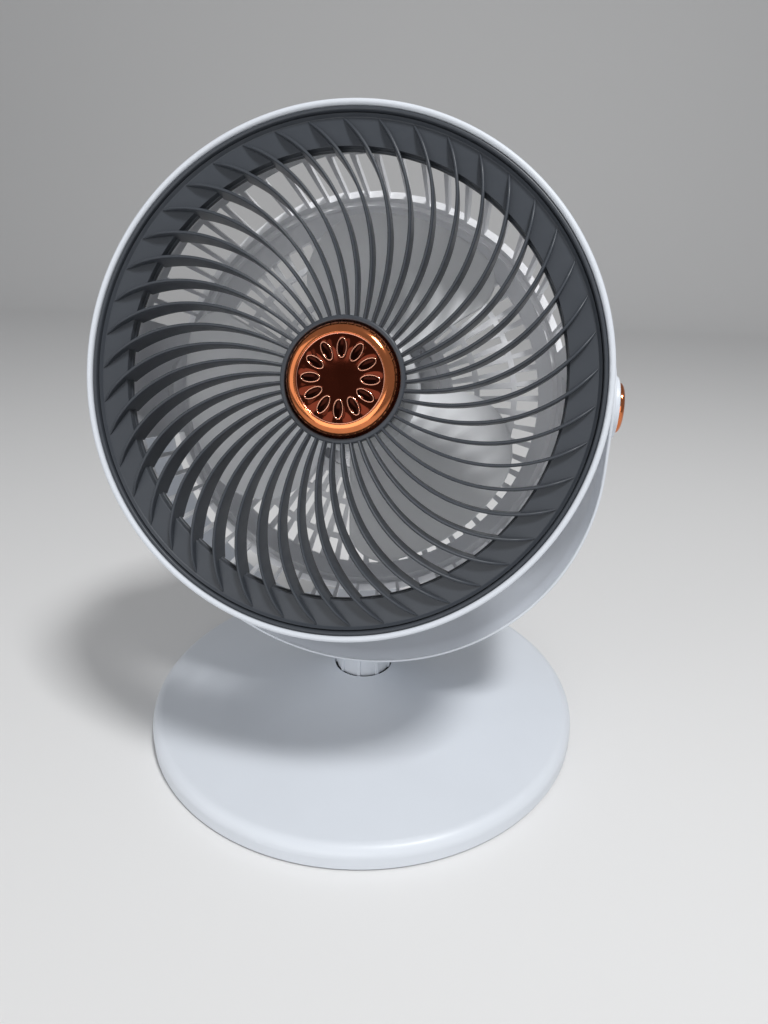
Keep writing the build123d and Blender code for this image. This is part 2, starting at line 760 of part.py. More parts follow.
with BuildPart() as front_grille:
    with BuildSketch(head_level(rib_root_back)):
        with PolarLocations(0, rib_count):
            add(rib_outline.sketch)
    extrude(amount=rim_front - rib_root_back)
    with BuildSketch(head_section):
        with BuildLine():
            Polyline((0, rib_root_back), (rib_root_radius, rib_root_back),
                     (band_inner_radius + rib_overlap, rib_back),
                     (band_inner_radius + rib_overlap, band_front - band_thickness / 2),
                     (rib_tip_radius + rib_overlap, band_front - band_thickness / 2),
                     (rib_tip_radius + rib_overlap, band_front - thread_clearance * 2))
            Spline((rib_tip_radius + rib_overlap, band_front - thread_clearance * 2),
                   (band_inner_radius, band_front + rib_band_rise),
                   (band_inner_radius - rib_crest_inset, band_front + rib_crest_rise),
                   (hub_radius + rib_inner_reach, band_front + rib_inner_rise),
                   (rib_root_radius, rib_root_front))
            Polyline((rib_root_radius, rib_root_front), (0, rib_root_front), (0, rib_root_back))
        make_face()
    revolve(axis=head_axis, mode=Mode.INTERSECT)
    with BuildSketch(head_section):
        with BuildLine():
            Polyline((band_inner_radius, band_front - band_lip_depth), (band_inner_radius, band_front),
                     (band_edge_radius - band_edge_rise, band_front),
                     (band_edge_radius, band_front + band_edge_rise),
                     (bead_inner - bead_groove_width, band_front + band_edge_rise),
                     (bead_inner - bead_groove_width, band_front - band_thickness / 2),
                     (bead_inner, band_front - band_thickness / 2),
                     (bead_inner, bead_front - bead_width / 2))
            bead_top = ((bead_inner + grille_edge) / 2, bead_front)
            ThreePointArc((bead_inner, bead_front - bead_width / 2), bead_top,
                          (grille_edge, bead_front - bead_width / 2))
            Polyline((grille_edge, bead_front - bead_width / 2), (grille_edge, skirt_back),
                     (grille_edge - bead_width, skirt_back),
                     (grille_edge - bead_width, band_front - band_thickness),
                     (band_inner_radius + band_lip_wall, band_front - band_thickness),
                     (band_inner_radius + band_lip_wall, band_front - band_lip_depth),
                     (band_inner_radius, band_front - band_lip_depth))
        make_face()
    revolve(axis=head_axis)
    with BuildSketch(head_section):
        with BuildLine():
            Polyline((0, hub_back), (hub_radius, hub_back), (hub_radius, hub_front - hub_outer_chamfer),
                     (hub_radius - hub_outer_chamfer, hub_front),
                     (hub_radius - hub_ring_wall + hub_inner_chamfer, hub_front),
                     (hub_radius - hub_ring_wall, hub_front - hub_inner_chamfer),
                     (hub_radius - hub_ring_wall, hub_back + hub_plate),
                     (0, hub_back + hub_plate), (0, hub_back))
        make_face()
    revolve(axis=head_axis)
front_grille.part.label = "front_grille"
export_step(front_grille.part, "parts/front_grille.step")

ornament_radius = hub_radius - hub_ring_wall - fit_gap
ornament_back = hub_back + hub_plate
ring_outer = ornament_radius - ornament_edge_chamfer
ring_inner_edge = ring_outer - ornament_ring_width
ring_foot = ornament_edge_front + ornament_edge_chamfer
with BuildPart() as hub_ornament:
    with BuildSketch(head_section):
        with BuildLine():
            Polyline((0, ornament_back), (ornament_radius, ornament_back),
                     (ornament_radius, ornament_edge_front), (ring_outer, ring_foot))
            ring_crown = (ring_inner_edge + ornament_ring_width * sqrt(0.5),
                          ring_foot + (ornament_front - ring_foot) * sqrt(0.5))
            ThreePointArc((ring_outer, ring_foot), ring_crown, (ring_inner_edge, ornament_front))
            Polyline((ring_inner_edge, ornament_front),
                     (ring_inner_edge - ornament_dish_step, ornament_dish_front),
                     (0, ornament_dish_front), (0, ornament_back))
        make_face()
    revolve(axis=head_axis)
    with BuildSketch(head_level(ornament_dish_front)):
        with PolarLocations(petal_circle, petal_count):
            Ellipse(petal_length / 2, petal_width / 2)
    extrude(amount=-petal_depth, mode=Mode.SUBTRACT)
hub_ornament.part.label = "hub_ornament"
export_step(hub_ornament.part, "parts/hub_ornament.step")

# ------------------------------------------------------------ head: rear basket
lip_front = skirt_back - seat_gap
plate_front = basket_back + basket_wall
seat_front = basket_back + seat_rim_height
ring_back = basket_ring_depth - basket_ring_height / 2
ring_front = basket_ring_depth + basket_ring_height / 2
side_slot_front = basket_shoulder - side_slot_margin
side_slot_back = ring_front + side_slot_margin
side_slot_middle = (side_slot_front + side_slot_back) / 2
slot_arc = 180 - 2 * (pad_half_angle + side_slot_pitch / 2)
side_slots = int(slot_arc // side_slot_pitch) + 1
side_start = 90 - (side_slots - 1) / 2 * side_slot_pitch
row_bars = row_bar * (len(row_shares) - 1)
row_share_length = (row_last_radius - row_first_radius - row_bars) / sum(row_shares)
lip_boss_face = grille_edge - basket_wall - lip_boss_height
tilt_bore_end = tilt_boss_face - pin_reach - seat_gap
tilt_boss_inner = tilt_bore_end - tilt_boss_floor

with BuildPart() as rear_grille:
    with BuildSketch(head_section):
        with BuildLine():
            Polyline((grille_edge, lip_front), (grille_edge, basket_shoulder),
                     (basket_ring_radius, basket_ring_depth), (basket_corner_radius, basket_back),
                     (seat_hole_radius, basket_back), (seat_hole_radius, plate_front),
                     (seat_radius - seat_rim_width, plate_front),
                     (seat_radius - seat_rim_width, seat_front),
                     (seat_radius, seat_front), (seat_radius, plate_front),
                     (basket_corner_radius - basket_wall / 2, plate_front), (ring_inner, ring_back),
                     (ring_inner - basket_ring_inset, ring_back),
                     (ring_inner - basket_ring_inset, ring_front), (ring_inner, ring_front),
                     (grille_edge - basket_wall, basket_shoulder + basket_wall / 6),
                     (grille_edge - basket_wall, lip_front), (grille_edge, lip_front))
        make_face()
    revolve(axis=head_axis)
    add(tilt_discs(tilt_boss_radius, tilt_boss_inner, tilt_boss_face))
    add(tilt_discs(bush_radius + thread_clearance, tilt_bore_end, tilt_boss_face + overcut),
        mode=Mode.SUBTRACT)
    for angle in lip_screw_angles:
        with BuildSketch(side_plane(angle, lip_boss_face, lip_screw_depth)):
            Circle(lip_boss_radius)
        extrude(amount=basket_wall / 2 + lip_boss_height)
    for angle in lip_screw_angles:
        with BuildSketch(side_plane(angle, lip_boss_face - overcut, lip_screw_depth)):
            Circle(screw_radius + thread_clearance)
        extrude(amount=2 * basket_wall + lip_boss_height, mode=Mode.SUBTRACT)
    with BuildSketch(head_level(basket_back - overcut)):
        with PolarLocations(motor_screw_circle, motor_screw_count, start_angle=45):
            Circle(screw_radius + thread_clearance)
        with PolarLocations(cover_screw_circle, cover_screw_count, start_angle=-90):
            Circle(screw_radius + thread_clearance)
    extrude(amount=seat_rim_height, mode=Mode.SUBTRACT)
    for start in (side_start, side_start + 180):
        with Locations(head_plane):
            with PolarLocations(basket_ring_radius, side_slots, start_angle=start,
                                angular_range=(side_slots - 1) * side_slot_pitch, endpoint=True):
                with Locations(Location((0, 0, side_slot_middle), (side_slot_slant, 0, 0))):
                    Box(8 * basket_wall, side_slot_width, side_slot_front - side_slot_back,
                        mode=Mode.SUBTRACT)
    with BuildSketch(head_level(basket_back)):
        for row, share in enumerate(row_shares):
            slot_length = row_share_length * share
            slot_circle = row_first_radius + row_share_length * sum(row_shares[:row]) + slot_length / 2
            slot_circle += row_bar * row
            slot_width = 2 * pi * slot_circle / row_slot_count - row_slot_bar
            with PolarLocations(slot_circle, row_slot_count):
                Rectangle(slot_length, slot_width)
    extrude(amount=basket_wall, mode=Mode.SUBTRACT)
rear_grille.part.label = "rear_grille"
export_step(rear_grille.part, "parts/rear_grille.step")

with BuildPart() as pivot_bushes:
    add(tilt_discs(bush_radius, tilt_boss_face - pin_reach, tilt_boss_face))
    add(tilt_discs(bore_radius, tilt_bore_end, tilt_boss_face + overcut), mode=Mode.SUBTRACT)
pivot_bushes.part.label = "pivot_bushes"
export_step(pivot_bushes.part, "parts/pivot_bushes.step")

# ------------------------------------------------------------------ head: motor
flange_radius = seat_radius - seat_rim_width - fit_gap
motor_inner = motor_radius - motor_wall
housing_radius = bearing_radius + bearing_housing_wall
bearing_seat = bearing_radius + thread_clearance
axle_opening = axle_radius + axle_opening_gap
front_bearing_front = motor_front + seat_gap
rear_bearing_back = motor_back - seat_gap
stator_length = stator_front - stator_back
stator_radius = motor_inner - fit_gap
pole_inner = rotor_radius + rotor_gap

with BuildPart() as motor_case:
    with BuildSketch(head_section):
        with BuildLine():
            Polyline((axle_opening, motor_front + bearing_housing_wall),
                     (housing_radius, motor_front + bearing_housing_wall),
                     (housing_radius, motor_front), (motor_radius, motor_front),
                     (motor_radius, motor_back), (motor_inner, motor_back),
                     (motor_inner, motor_front - motor_wall), (housing_radius, motor_front - motor_wall),
                     (housing_radius, front_bearing_front - bearing_width),
                     (bearing_seat, front_bearing_front - bearing_width),
                     (bearing_seat, front_bearing_front + thread_clearance),
                     (axle_opening, front_bearing_front + thread_clearance),
                     (axle_opening, motor_front + bearing_housing_wall))
        make_face()
    revolve(axis=head_axis)
    with BuildSketch(head_level(plate_front)):
        Circle(flange_radius)
        Circle(motor_radius - motor_wall / 2, mode=Mode.SUBTRACT)
        with PolarLocations(motor_screw_circle, motor_screw_count, start_angle=45):
            Circle(screw_radius + fit_gap, mode=Mode.SUBTRACT)
    extrude(amount=motor_flange_thickness)
motor_case.part.label = "motor_case"
export_step(motor_case.part, "parts/motor_case.step")

with BuildPart() as motor_end_cap:
    with BuildSketch(head_section):
        with BuildLine():
            Polyline((0, motor_back - bearing_housing_wall),
                     (housing_radius, motor_back - bearing_housing_wall),
                     (housing_radius, motor_back), (motor_inner - fit_gap / 2, motor_back),
                     (motor_inner - fit_gap / 2, motor_back + motor_wall),
                     (housing_radius, motor_back + motor_wall),
                     (housing_radius, rear_bearing_back + bearing_width),
                     (bearing_seat, rear_bearing_back + bearing_width),
                     (bearing_seat, rear_bearing_back - thread_clearance),
                     (0, rear_bearing_back - thread_clearance), (0, motor_back - bearing_housing_wall))
        make_face()
    revolve(axis=head_axis)
motor_end_cap.part.label = "motor_end_cap"
export_step(motor_end_cap.part, "parts/motor_end_cap.step")


def bearing(back):
    """Ball bearing drawn as one ring, from this depth forwards."""
    with BuildPart() as ring:
        with BuildSketch(head_level(back)):
            Circle(bearing_radius)
            Circle(axle_radius + running_clearance, mode=Mode.SUBTRACT)
        extrude(amount=bearing_width)
        chamfer(ring.edges().filter_by(GeomType.CIRCLE).group_by(SortBy.RADIUS)[-1], bearing_edge_break)
    return ring


front_bearing = bearing(front_bearing_front - bearing_width)
front_bearing.part.label = "front_bearing"
export_step(front_bearing.part, "parts/front_bearing.step")

rear_bearing = bearing(rear_bearing_back)
rear_bearing.part.label = "rear_bearing"
export_step(rear_bearing.part, "parts/rear_bearing.step")

with BuildPart() as motor_stator:
    with BuildSketch(head_level(stator_back)):
        Circle(stator_radius)
        Circle(stator_radius - stator_ring_width, mode=Mode.SUBTRACT)
        with PolarLocations(0, pole_count):
            Rectangle(stator_radius - stator_ring_width / 2, pole_width, align=(Align.MIN, Align.CENTER))
        Circle(pole_inner, mode=Mode.SUBTRACT)
    extrude(amount=stator_length)
motor_stator.part.label = "motor_stator"
export_step(motor_stator.part, "parts/motor_stator.step")

pole_outer = stator_radius - stator_ring_width
coil_height = pole_outer - pole_inner - 2 * coil_end_gap
coil_circle = (pole_inner + pole_outer) / 2 + fit_gap
with BuildPart() as motor_coils:
    with Locations(head_level((stator_front + stator_back) / 2)):
        with PolarLocations(coil_circle, pole_count):
            Box(coil_height, pole_width + 2 * coil_thickness + 2 * fit_gap,
                stator_length + 2 * coil_thickness + 2 * fit_gap)
            Box(coil_height + overcut, pole_width + 2 * fit_gap, stator_length + 2 * fit_gap,
                mode=Mode.SUBTRACT)
motor_coils.part.label = "motor_coils"
export_step(motor_coils.part, "parts/motor_coils.step")

with BuildPart() as motor_screws:
    for k in range(motor_screw_count):
        x, y = polar(motor_screw_circle, 45 + 360 / motor_screw_count * k)
        seat = Plane(origin=head_level(plate_front + motor_flange_thickness).from_local_coords((x, y, 0)),
                     x_dir=(1, 0, 0), z_dir=forward)
        add(screw(seat, motor_flange_thickness + basket_wall - fit_gap))
motor_screws.part.label = "motor_screws"
export_step(motor_screws.part, "parts/motor_screws.step")

with BuildPart() as motor_cover:
    with BuildSketch(head_section):
        with BuildLine():
            Polyline((seat_radius, basket_back), (seat_radius, basket_back - cover_flange),
                     (cover_radius, basket_back - cover_flange), (cover_radius, cover_back + cover_round))
            CenterArc((cover_radius - cover_round, cover_back + cover_round), cover_round, 0, -90)
            Polyline((cover_radius - cover_round, cover_back), (0, cover_back),
                     (0, cover_back + cover_wall),
                     (cover_radius - cover_round, cover_back + cover_wall))
            CenterArc((cover_radius - cover_round, cover_back + cover_round), cover_round - cover_wall,
                      -90, 90)
            Polyline((cover_radius - cover_wall, cover_back + cover_round),
                     (cover_radius - cover_wall, basket_back), (seat_radius, basket_back))
        make_face()
    revolve(axis=head_axis)
    with BuildSketch(head_level(cover_back)):
        with PolarLocations(cover_slot_circle, cover_slot_count):
            SlotOverall(cover_slot_length, cover_slot_width)
    extrude(amount=cover_wall, mode=Mode.SUBTRACT)
    with BuildSketch(head_level(basket_back)):
        with PolarLocations(cover_screw_circle, cover_screw_count, start_angle=-90):
            Circle(screw_radius + fit_gap)
    extrude(amount=-cover_flange, mode=Mode.SUBTRACT)
motor_cover.part.label = "motor_cover"
export_step(motor_cover.part, "parts/motor_cover.step")

with BuildPart() as cover_screws:
    for k in range(cover_screw_count):
        x, y = polar(cover_screw_circle, 360 / cover_screw_count * k - 90)
        seat = Plane(origin=head_level(basket_back - cover_flange).from_local_coords((x, y, 0)),
                     x_dir=(1, 0, 0), z_dir=forward * -1)
        add(screw(seat, cover_flange + cover_screw_reach))
cover_screws.part.label = "cover_screws"
export_step(cover_screws.part, "parts/cover_screws.step")

# --------------------------------------------------------------------- impeller
with BuildPart() as motor_axle:
    with BuildSketch(head_level(axle_back)):
        Circle(axle_radius)
    extrude(amount=axle_front - axle_back)
    chamfer(motor_axle.edges(), axle_end_break)
motor_axle.part.label = "motor_axle"
export_step(motor_axle.part, "parts/motor_axle.step")

with BuildPart() as motor_rotor:
    with BuildSketch(head_level(stator_back)):
        Circle(rotor_radius)
        Circle(axle_radius + thread_clearance, mode=Mode.SUBTRACT)
    extrude(amount=stator_length)
motor_rotor.part.label = "motor_rotor"
export_step(motor_rotor.part, "parts/motor_rotor.step")

blade_stations = 7
blade_overrun = 3.0         # degrees that the slab runs past the blade's two edges
slab_inner = impeller_hub_radius - impeller_hub_wall * 0.75
slab_outer = impeller_radius + 2 * overcut

with BuildPart() as blade:
    for station in range(blade_stations):
        share = station / (blade_stations - 1)
        angle = blade_first_angle - blade_overrun + (blade_span + 2 * blade_overrun) * share
        turned = (angle - blade_first_angle) / blade_span
        with BuildSketch(radial_section(angle)):
            with Locations(((slab_inner + slab_outer) / 2,
                            blade_front + (blade_back - blade_front) * turned)):
                Rectangle(slab_outer - slab_inner, blade_thickness)
    loft()
    last_angle = blade_first_angle + blade_span
    with BuildSketch(head_level(impeller_hub_back / 2)) as blade_plan:
        with BuildLine():
            Line((0, 0), polar(impeller_radius, blade_first_angle))
            CenterArc((0, 0), impeller_radius, blade_first_angle, blade_span)
            Line(polar(impeller_radius, last_angle), (0, 0))
        make_face()
        front_corner = Vector(*polar(impeller_radius, blade_first_angle))
        fillet(blade_plan.vertices().sort_by_distance(front_corner)[0], blade_front_round)
        back_corner = Vector(*polar(impeller_radius, last_angle))
        fillet(blade_plan.vertices().sort_by_distance(back_corner)[0], blade_back_round)
    extrude(amount=impeller_hub_front, mode=Mode.INTERSECT)

recess_floor = impeller_hub_front - nut_recess_depth
with BuildPart() as impeller:
    with BuildSketch(head_level(impeller_hub_back)):
        Circle(impeller_hub_radius)
    extrude(amount=impeller_hub_front - impeller_hub_back)
    fillet(impeller.faces().sort_by(head_axis)[-1].edges(), impeller_hub_round)
    with BuildSketch(head_level(impeller_hub_back)):
        Circle(impeller_hub_radius - impeller_hub_wall)
    extrude(amount=impeller_hub_front - impeller_hub_wall - impeller_hub_back, mode=Mode.SUBTRACT)
    with BuildSketch(head_level(recess_floor - impeller_hub_wall)):
        Circle(nut_recess_radius + impeller_hub_wall)
    extrude(amount=nut_recess_depth)
    with BuildSketch(head_level(motor_front + bearing_housing_wall + seat_gap * 2)):
        Circle(impeller_boss_radius)
    extrude(until=Until.NEXT)
    with BuildSketch(head_level(recess_floor)):
        Circle(nut_recess_radius)
    extrude(amount=nut_recess_depth, mode=Mode.SUBTRACT)
    with BuildSketch(head_level(0)):
        Circle(axle_radius + thread_clearance)
    extrude(amount=impeller_hub_front, mode=Mode.SUBTRACT)
    for k in range(blade_count):
        add(blade.part.rotate(head_axis, 360 / blade_count * k))
impeller.part.label = "impeller"
export_step(impeller.part, "parts/impeller.step")

with BuildPart() as impeller_nut:
    with BuildSketch(head_level(recess_floor)):
        RegularPolygon(nut_width / 2, 6, major_radius=False)
        Circle(axle_radius + thread_clearance, mode=Mode.SUBTRACT)
    extrude(amount=nut_height)
impeller_nut.part.label = "impeller_nut"
export_step(impeller_nut.part, "parts/impeller_nut.step")
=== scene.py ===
"""Desk air circulator: surfaces, finishes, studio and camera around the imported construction.

Lengths are millimetres until a mesh is made. The head has its own axes: right, up and depth,
where depth is the distance in front of the tilt axis along the head's centre line. In the head's
classes a size whose name ends in front or back is such a depth.
"""

import json
import logging
import math
from dataclasses import dataclass, field
from enum import Enum
from typing import Callable, Sequence

import bmesh
import bpy
import numpy as np
from mathutils import Matrix, Vector


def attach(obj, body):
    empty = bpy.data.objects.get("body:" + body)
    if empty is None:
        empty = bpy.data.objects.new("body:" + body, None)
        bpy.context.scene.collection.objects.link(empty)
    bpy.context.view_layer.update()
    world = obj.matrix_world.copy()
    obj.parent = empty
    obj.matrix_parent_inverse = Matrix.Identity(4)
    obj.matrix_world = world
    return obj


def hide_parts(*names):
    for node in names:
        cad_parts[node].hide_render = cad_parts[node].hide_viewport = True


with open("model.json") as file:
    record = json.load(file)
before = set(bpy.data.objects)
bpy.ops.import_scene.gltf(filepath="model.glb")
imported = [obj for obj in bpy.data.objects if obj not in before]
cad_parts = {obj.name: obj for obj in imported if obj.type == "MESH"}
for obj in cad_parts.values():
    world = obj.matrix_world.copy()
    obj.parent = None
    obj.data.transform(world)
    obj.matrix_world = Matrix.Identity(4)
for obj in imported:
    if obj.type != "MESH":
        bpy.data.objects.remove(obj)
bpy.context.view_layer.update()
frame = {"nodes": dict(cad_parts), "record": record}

LOG = logging.getLogger("air_circulator")
MM = 0.001

Triple = tuple[float, float, float]
Mapping = Callable[[np.ndarray], np.ndarray]


# ------------------------------------------------------------------- named options
class Body(Enum):
    """Bodies of the construction that new pieces ride on."""

    BASE = "base"
    YOKE = "yoke"
    HEAD = "head"
    IMPELLER = "impeller"


# ------------------------------------------------------------------ surface makers
@dataclass
class Surface:
    """Points and four-cornered faces.

    Attributes:
        points: Array (n, 3) of places in millimetres.
        faces: Array (m, 4) of point numbers.
    """

    points: np.ndarray
    faces: np.ndarray

    def placed(self, place: Mapping) -> "Surface":
        """The same surface with its points passed through a mapping."""
        return Surface(place(self.points), self.faces)


def grid(points: np.ndarray, close_rows: bool = False, close_columns: bool = False) -> Surface:
    """Surface over a grid of points: each cell between neighbouring rows and columns is a face.

    Args:
        points: Array (rows, columns, 3).
        close_rows: Join the last row to the first.
        close_columns: Join the last column to the first.

    Returns:
        The surface.
    """
    rows, columns = points.shape[:2]
    number = np.arange(rows * columns).reshape(rows, columns)
    if close_rows:
        number = np.vstack([number, number[:1]])
    if close_columns:
        number = np.hstack([number, number[:, :1]])
    corners = [number[:-1, :-1], number[:-1, 1:], number[1:, 1:], number[1:, :-1]]
    return Surface(points.reshape(-1, 3), np.stack(corners, axis=-1).reshape(-1, 4))


def joined(surfaces: Sequence[Surface]) -> Surface:
    """Several surfaces as one, with their faces renumbered.

    Args:
        surfaces: The ones to join.

    Returns:
        One surface.
    """
    starts = np.cumsum([0] + [len(s.points) for s in surfaces[:-1]])
    faces = np.vstack([s.faces + start for s, start in zip(surfaces, starts)])
    return Surface(np.vstack([s.points for s in surfaces]), faces)


def rounded(corners: Sequence[tuple[float, float]], radii: Sequence[float] | float, steps: int = 5,
            closed: bool = True) -> np.ndarray:
    """Outline with each corner replaced by an arc that touches both of its sides.

    The arc starts at radius * tan(half the turn) before the corner and ends as far behind it.

    Args:
        corners: Corner points in order.
        radii: One radius for all corners, or one each.
        steps: Points on each arc, less one.
        closed: Whether the last corner joins the first.

    Returns:
        Array (n, 2).
    """
    points = np.asarray(corners, float)
    count = len(points)
    sizes = np.broadcast_to(np.asarray(radii, float), (count,))
    pieces: list[np.ndarray] = []
    for k, corner in enumerate(points):
        if (not closed and k in (0, count - 1)) or sizes[k] <= 0:
            pieces.append(corner[None])
            continue
        into = corner - points[k - 1]
        out = points[(k + 1) % count] - corner
        into_length, out_length = np.hypot(*into), np.hypot(*out)
        into, out = into / into_length, out / out_length
        turn = math.atan2(into[0] * out[1] - into[1] * out[0], float(into @ out))
        if abs(turn) < 1e-4:
            pieces.append(corner[None])
            continue
        back = min(sizes[k] * math.tan(abs(turn) / 2), 0.49 * into_length, 0.49 * out_length)
        radius = back / math.tan(abs(turn) / 2)
        side = np.sign(turn)
        middle = corner - into * back + np.array([-into[1], into[0]]) * side * radius
        first = corner - into * back - middle
        start = math.atan2(first[1], first[0])
        angles = start + np.linspace(0, turn, steps + 1)
        pieces.append(middle + radius * np.stack([np.cos(angles), np.sin(angles)], axis=1))
    return np.vstack(pieces)


def lathe(outline: np.ndarray, segments: int = 192, closed: bool = True,
          radii: np.ndarray | None = None) -> Surface:
    """Outline (radius, depth) turned once round the depth axis: (r cos a, r sin a, d).

    Args:
        outline: Array (n, 2) of radius and depth.
        segments: Steps round the axis.
        closed: Whether the outline's last point joins its first.
        radii: Array (segments, n) that takes the radii's place where they change round the axis.

    Returns:
        The surface in right, up, depth.
    """
    angle = np.arange(segments)[:, None] * 2 * math.pi / segments
    radius = outline[:, 0] if radii is None else radii
    depth = np.broadcast_to(outline[:, 1], (segments, len(outline)))
    points = np.stack([np.cos(angle) * radius, np.sin(angle) * radius, depth], axis=-1)
    return grid(points, close_rows=True, close_columns=closed)


def repeated(surface: Surface, count: int, start: float = 0.0) -> Surface:
    """Copies of a surface, spaced evenly round the third axis.

    Args:
        surface: The one to copy.
        count: How many there are.
        start: Angle of the first, in radians.

    Returns:
        All of them as one surface.
    """
    angles = start + np.arange(count) * 2 * math.pi / count
    turns = [np.array([[math.cos(a), math.sin(a), 0], [-math.sin(a), math.cos(a), 0], [0, 0, 1]])
             for a in angles]
    return joined([Surface(surface.points @ turn, surface.faces) for turn in turns])


def through(knots: Sequence[float], values: Sequence[float], where: np.ndarray) -> np.ndarray:
    """Smooth curve through the knots: a cubic between two knots with the slopes of their neighbours.

    Args:
        knots: Rising places.
        values: Value at each knot.
        where: Places to work out.

    Returns:
        The values there.
    """
    x, y = np.asarray(knots, float), np.asarray(values, float)
    slope = np.gradient(y, x)
    k = np.clip(np.searchsorted(x, where) - 1, 0, len(x) - 2)
    width = x[k + 1] - x[k]
    t = np.clip((where - x[k]) / width, 0, 1)
    return ((2 * t**3 - 3 * t**2 + 1) * y[k] + (t**3 - 2 * t**2 + t) * width * slope[k]
            + (3 * t**2 - 2 * t**3) * y[k + 1] + (t**3 - t**2) * width * slope[k + 1])


def make_mesh(name: str, surface: Surface, sharp_angle: float = 40.0) -> bpy.types.Object:
    """Object with a welded, outward-facing, smooth-shaded mesh.

    Args:
        name: Name of the object.
        surface: Its surface, in millimetres in the row frame.
        sharp_angle: Edges that turn by more than this many degrees stay sharp.

    Returns:
        The new object, at the origin.
    """
    mesh = bpy.data.meshes.new(name)
    mesh.from_pydata(surface.points * MM, [], surface.faces)
    work = bmesh.new()
    work.from_mesh(mesh)
    bmesh.ops.remove_doubles(work, verts=work.verts, dist=1e-6)
    bmesh.ops.recalc_face_normals(work, faces=work.faces)
    work.to_mesh(mesh)
    work.free()
    mesh.shade_smooth()
    mesh.set_sharp_from_angle(angle=math.radians(sharp_angle))
    piece = bpy.data.objects.new(name, mesh)
    bpy.context.scene.collection.objects.link(piece)
    return piece


# ------------------------------------------------------------------ frames of reference
@dataclass(frozen=True)
class HeadFrame:
    """Where the head sits: its tilt axis and its tilt at rest.

    Attributes:
        pivot_height: Height of the tilt axis above the ground.
        tilt: Degrees that the head looks upwards.
    """

    pivot_height: float = 169.5
    tilt: float = 19.25

    def place(self, points: np.ndarray) -> np.ndarray:
        """Right, up, depth to the row frame: pivot + right * X + up * upward + depth * forward.

        Args:
            points: Array (n, 3) of right, up, depth.

        Returns:
            Array (n, 3) of row-frame places.
        """
        lean = math.radians(self.tilt)
        s, c = math.sin(lean), math.cos(lean)
        axes = np.array([[1, 0, 0], [0, s, c], [0, -c, s]])
        return points @ axes + np.array([0, 0, self.pivot_height])


HEAD = HeadFrame()


def beside_arm(side: int) -> Mapping:
    """Mapping for pieces turned about the tilt axis: their depth runs outwards on one side.

    Args:
        side: 1 for the right arm, -1 for the left.

    Returns:
        A function from right, up, depth to the row frame.
    """

    def place(points: np.ndarray) -> np.ndarray:
        """Depth becomes distance from the middle; right and up stay beside the axis."""
        return np.stack([side * points[:, 2], points[:, 0], points[:, 1] + HEAD.pivot_height], axis=1)

    return place


# -------------------------------------------------------------------------- finishes
def from_srgb(red: float, green: float, blue: float) -> Triple:
    """Screen colour, 0 to 255 each, as linear light: ((c + 0.055) / 1.055) ** 2.4, from 11 up."""
    shares = [max(c, 11) / 255 for c in (red, green, blue)]
    return tuple(((c + 0.055) / 1.055) ** 2.4 for c in shares)


class Value:
    """A shader number: sums and products of it add Math nodes."""

    def __init__(self, graph: "Graph", socket: bpy.types.NodeSocket) -> None:
        """Wraps an output socket of the graph."""
        self.graph = graph
        self.socket = socket

    def _math(self, operation: str, first: "Value | float", second: "Value | float") -> "Value":
        """One Math node on two numbers."""
        node = self.graph.node("ShaderNodeMath", {"operation": operation}, {0: first, 1: second})
        return Value(self.graph, node.outputs[0])

    def __add__(self, other: "Value | float") -> "Value":
        """Sum."""
        return self._math("ADD", self, other)

    __radd__ = __add__

    def __mul__(self, other: "Value | float") -> "Value":
        """Product."""
        return self._math("MULTIPLY", self, other)

    __rmul__ = __mul__

    def step(self, low: float, high: float) -> "Value":
        """Smooth step from 0 at low to 1 at high."""
        node = self.graph.node("ShaderNodeMapRange", {"interpolation_type": "SMOOTHSTEP"},
                               {"Value": self, "From Min": low, "From Max": high})
        return Value(self.graph, node.outputs[0])


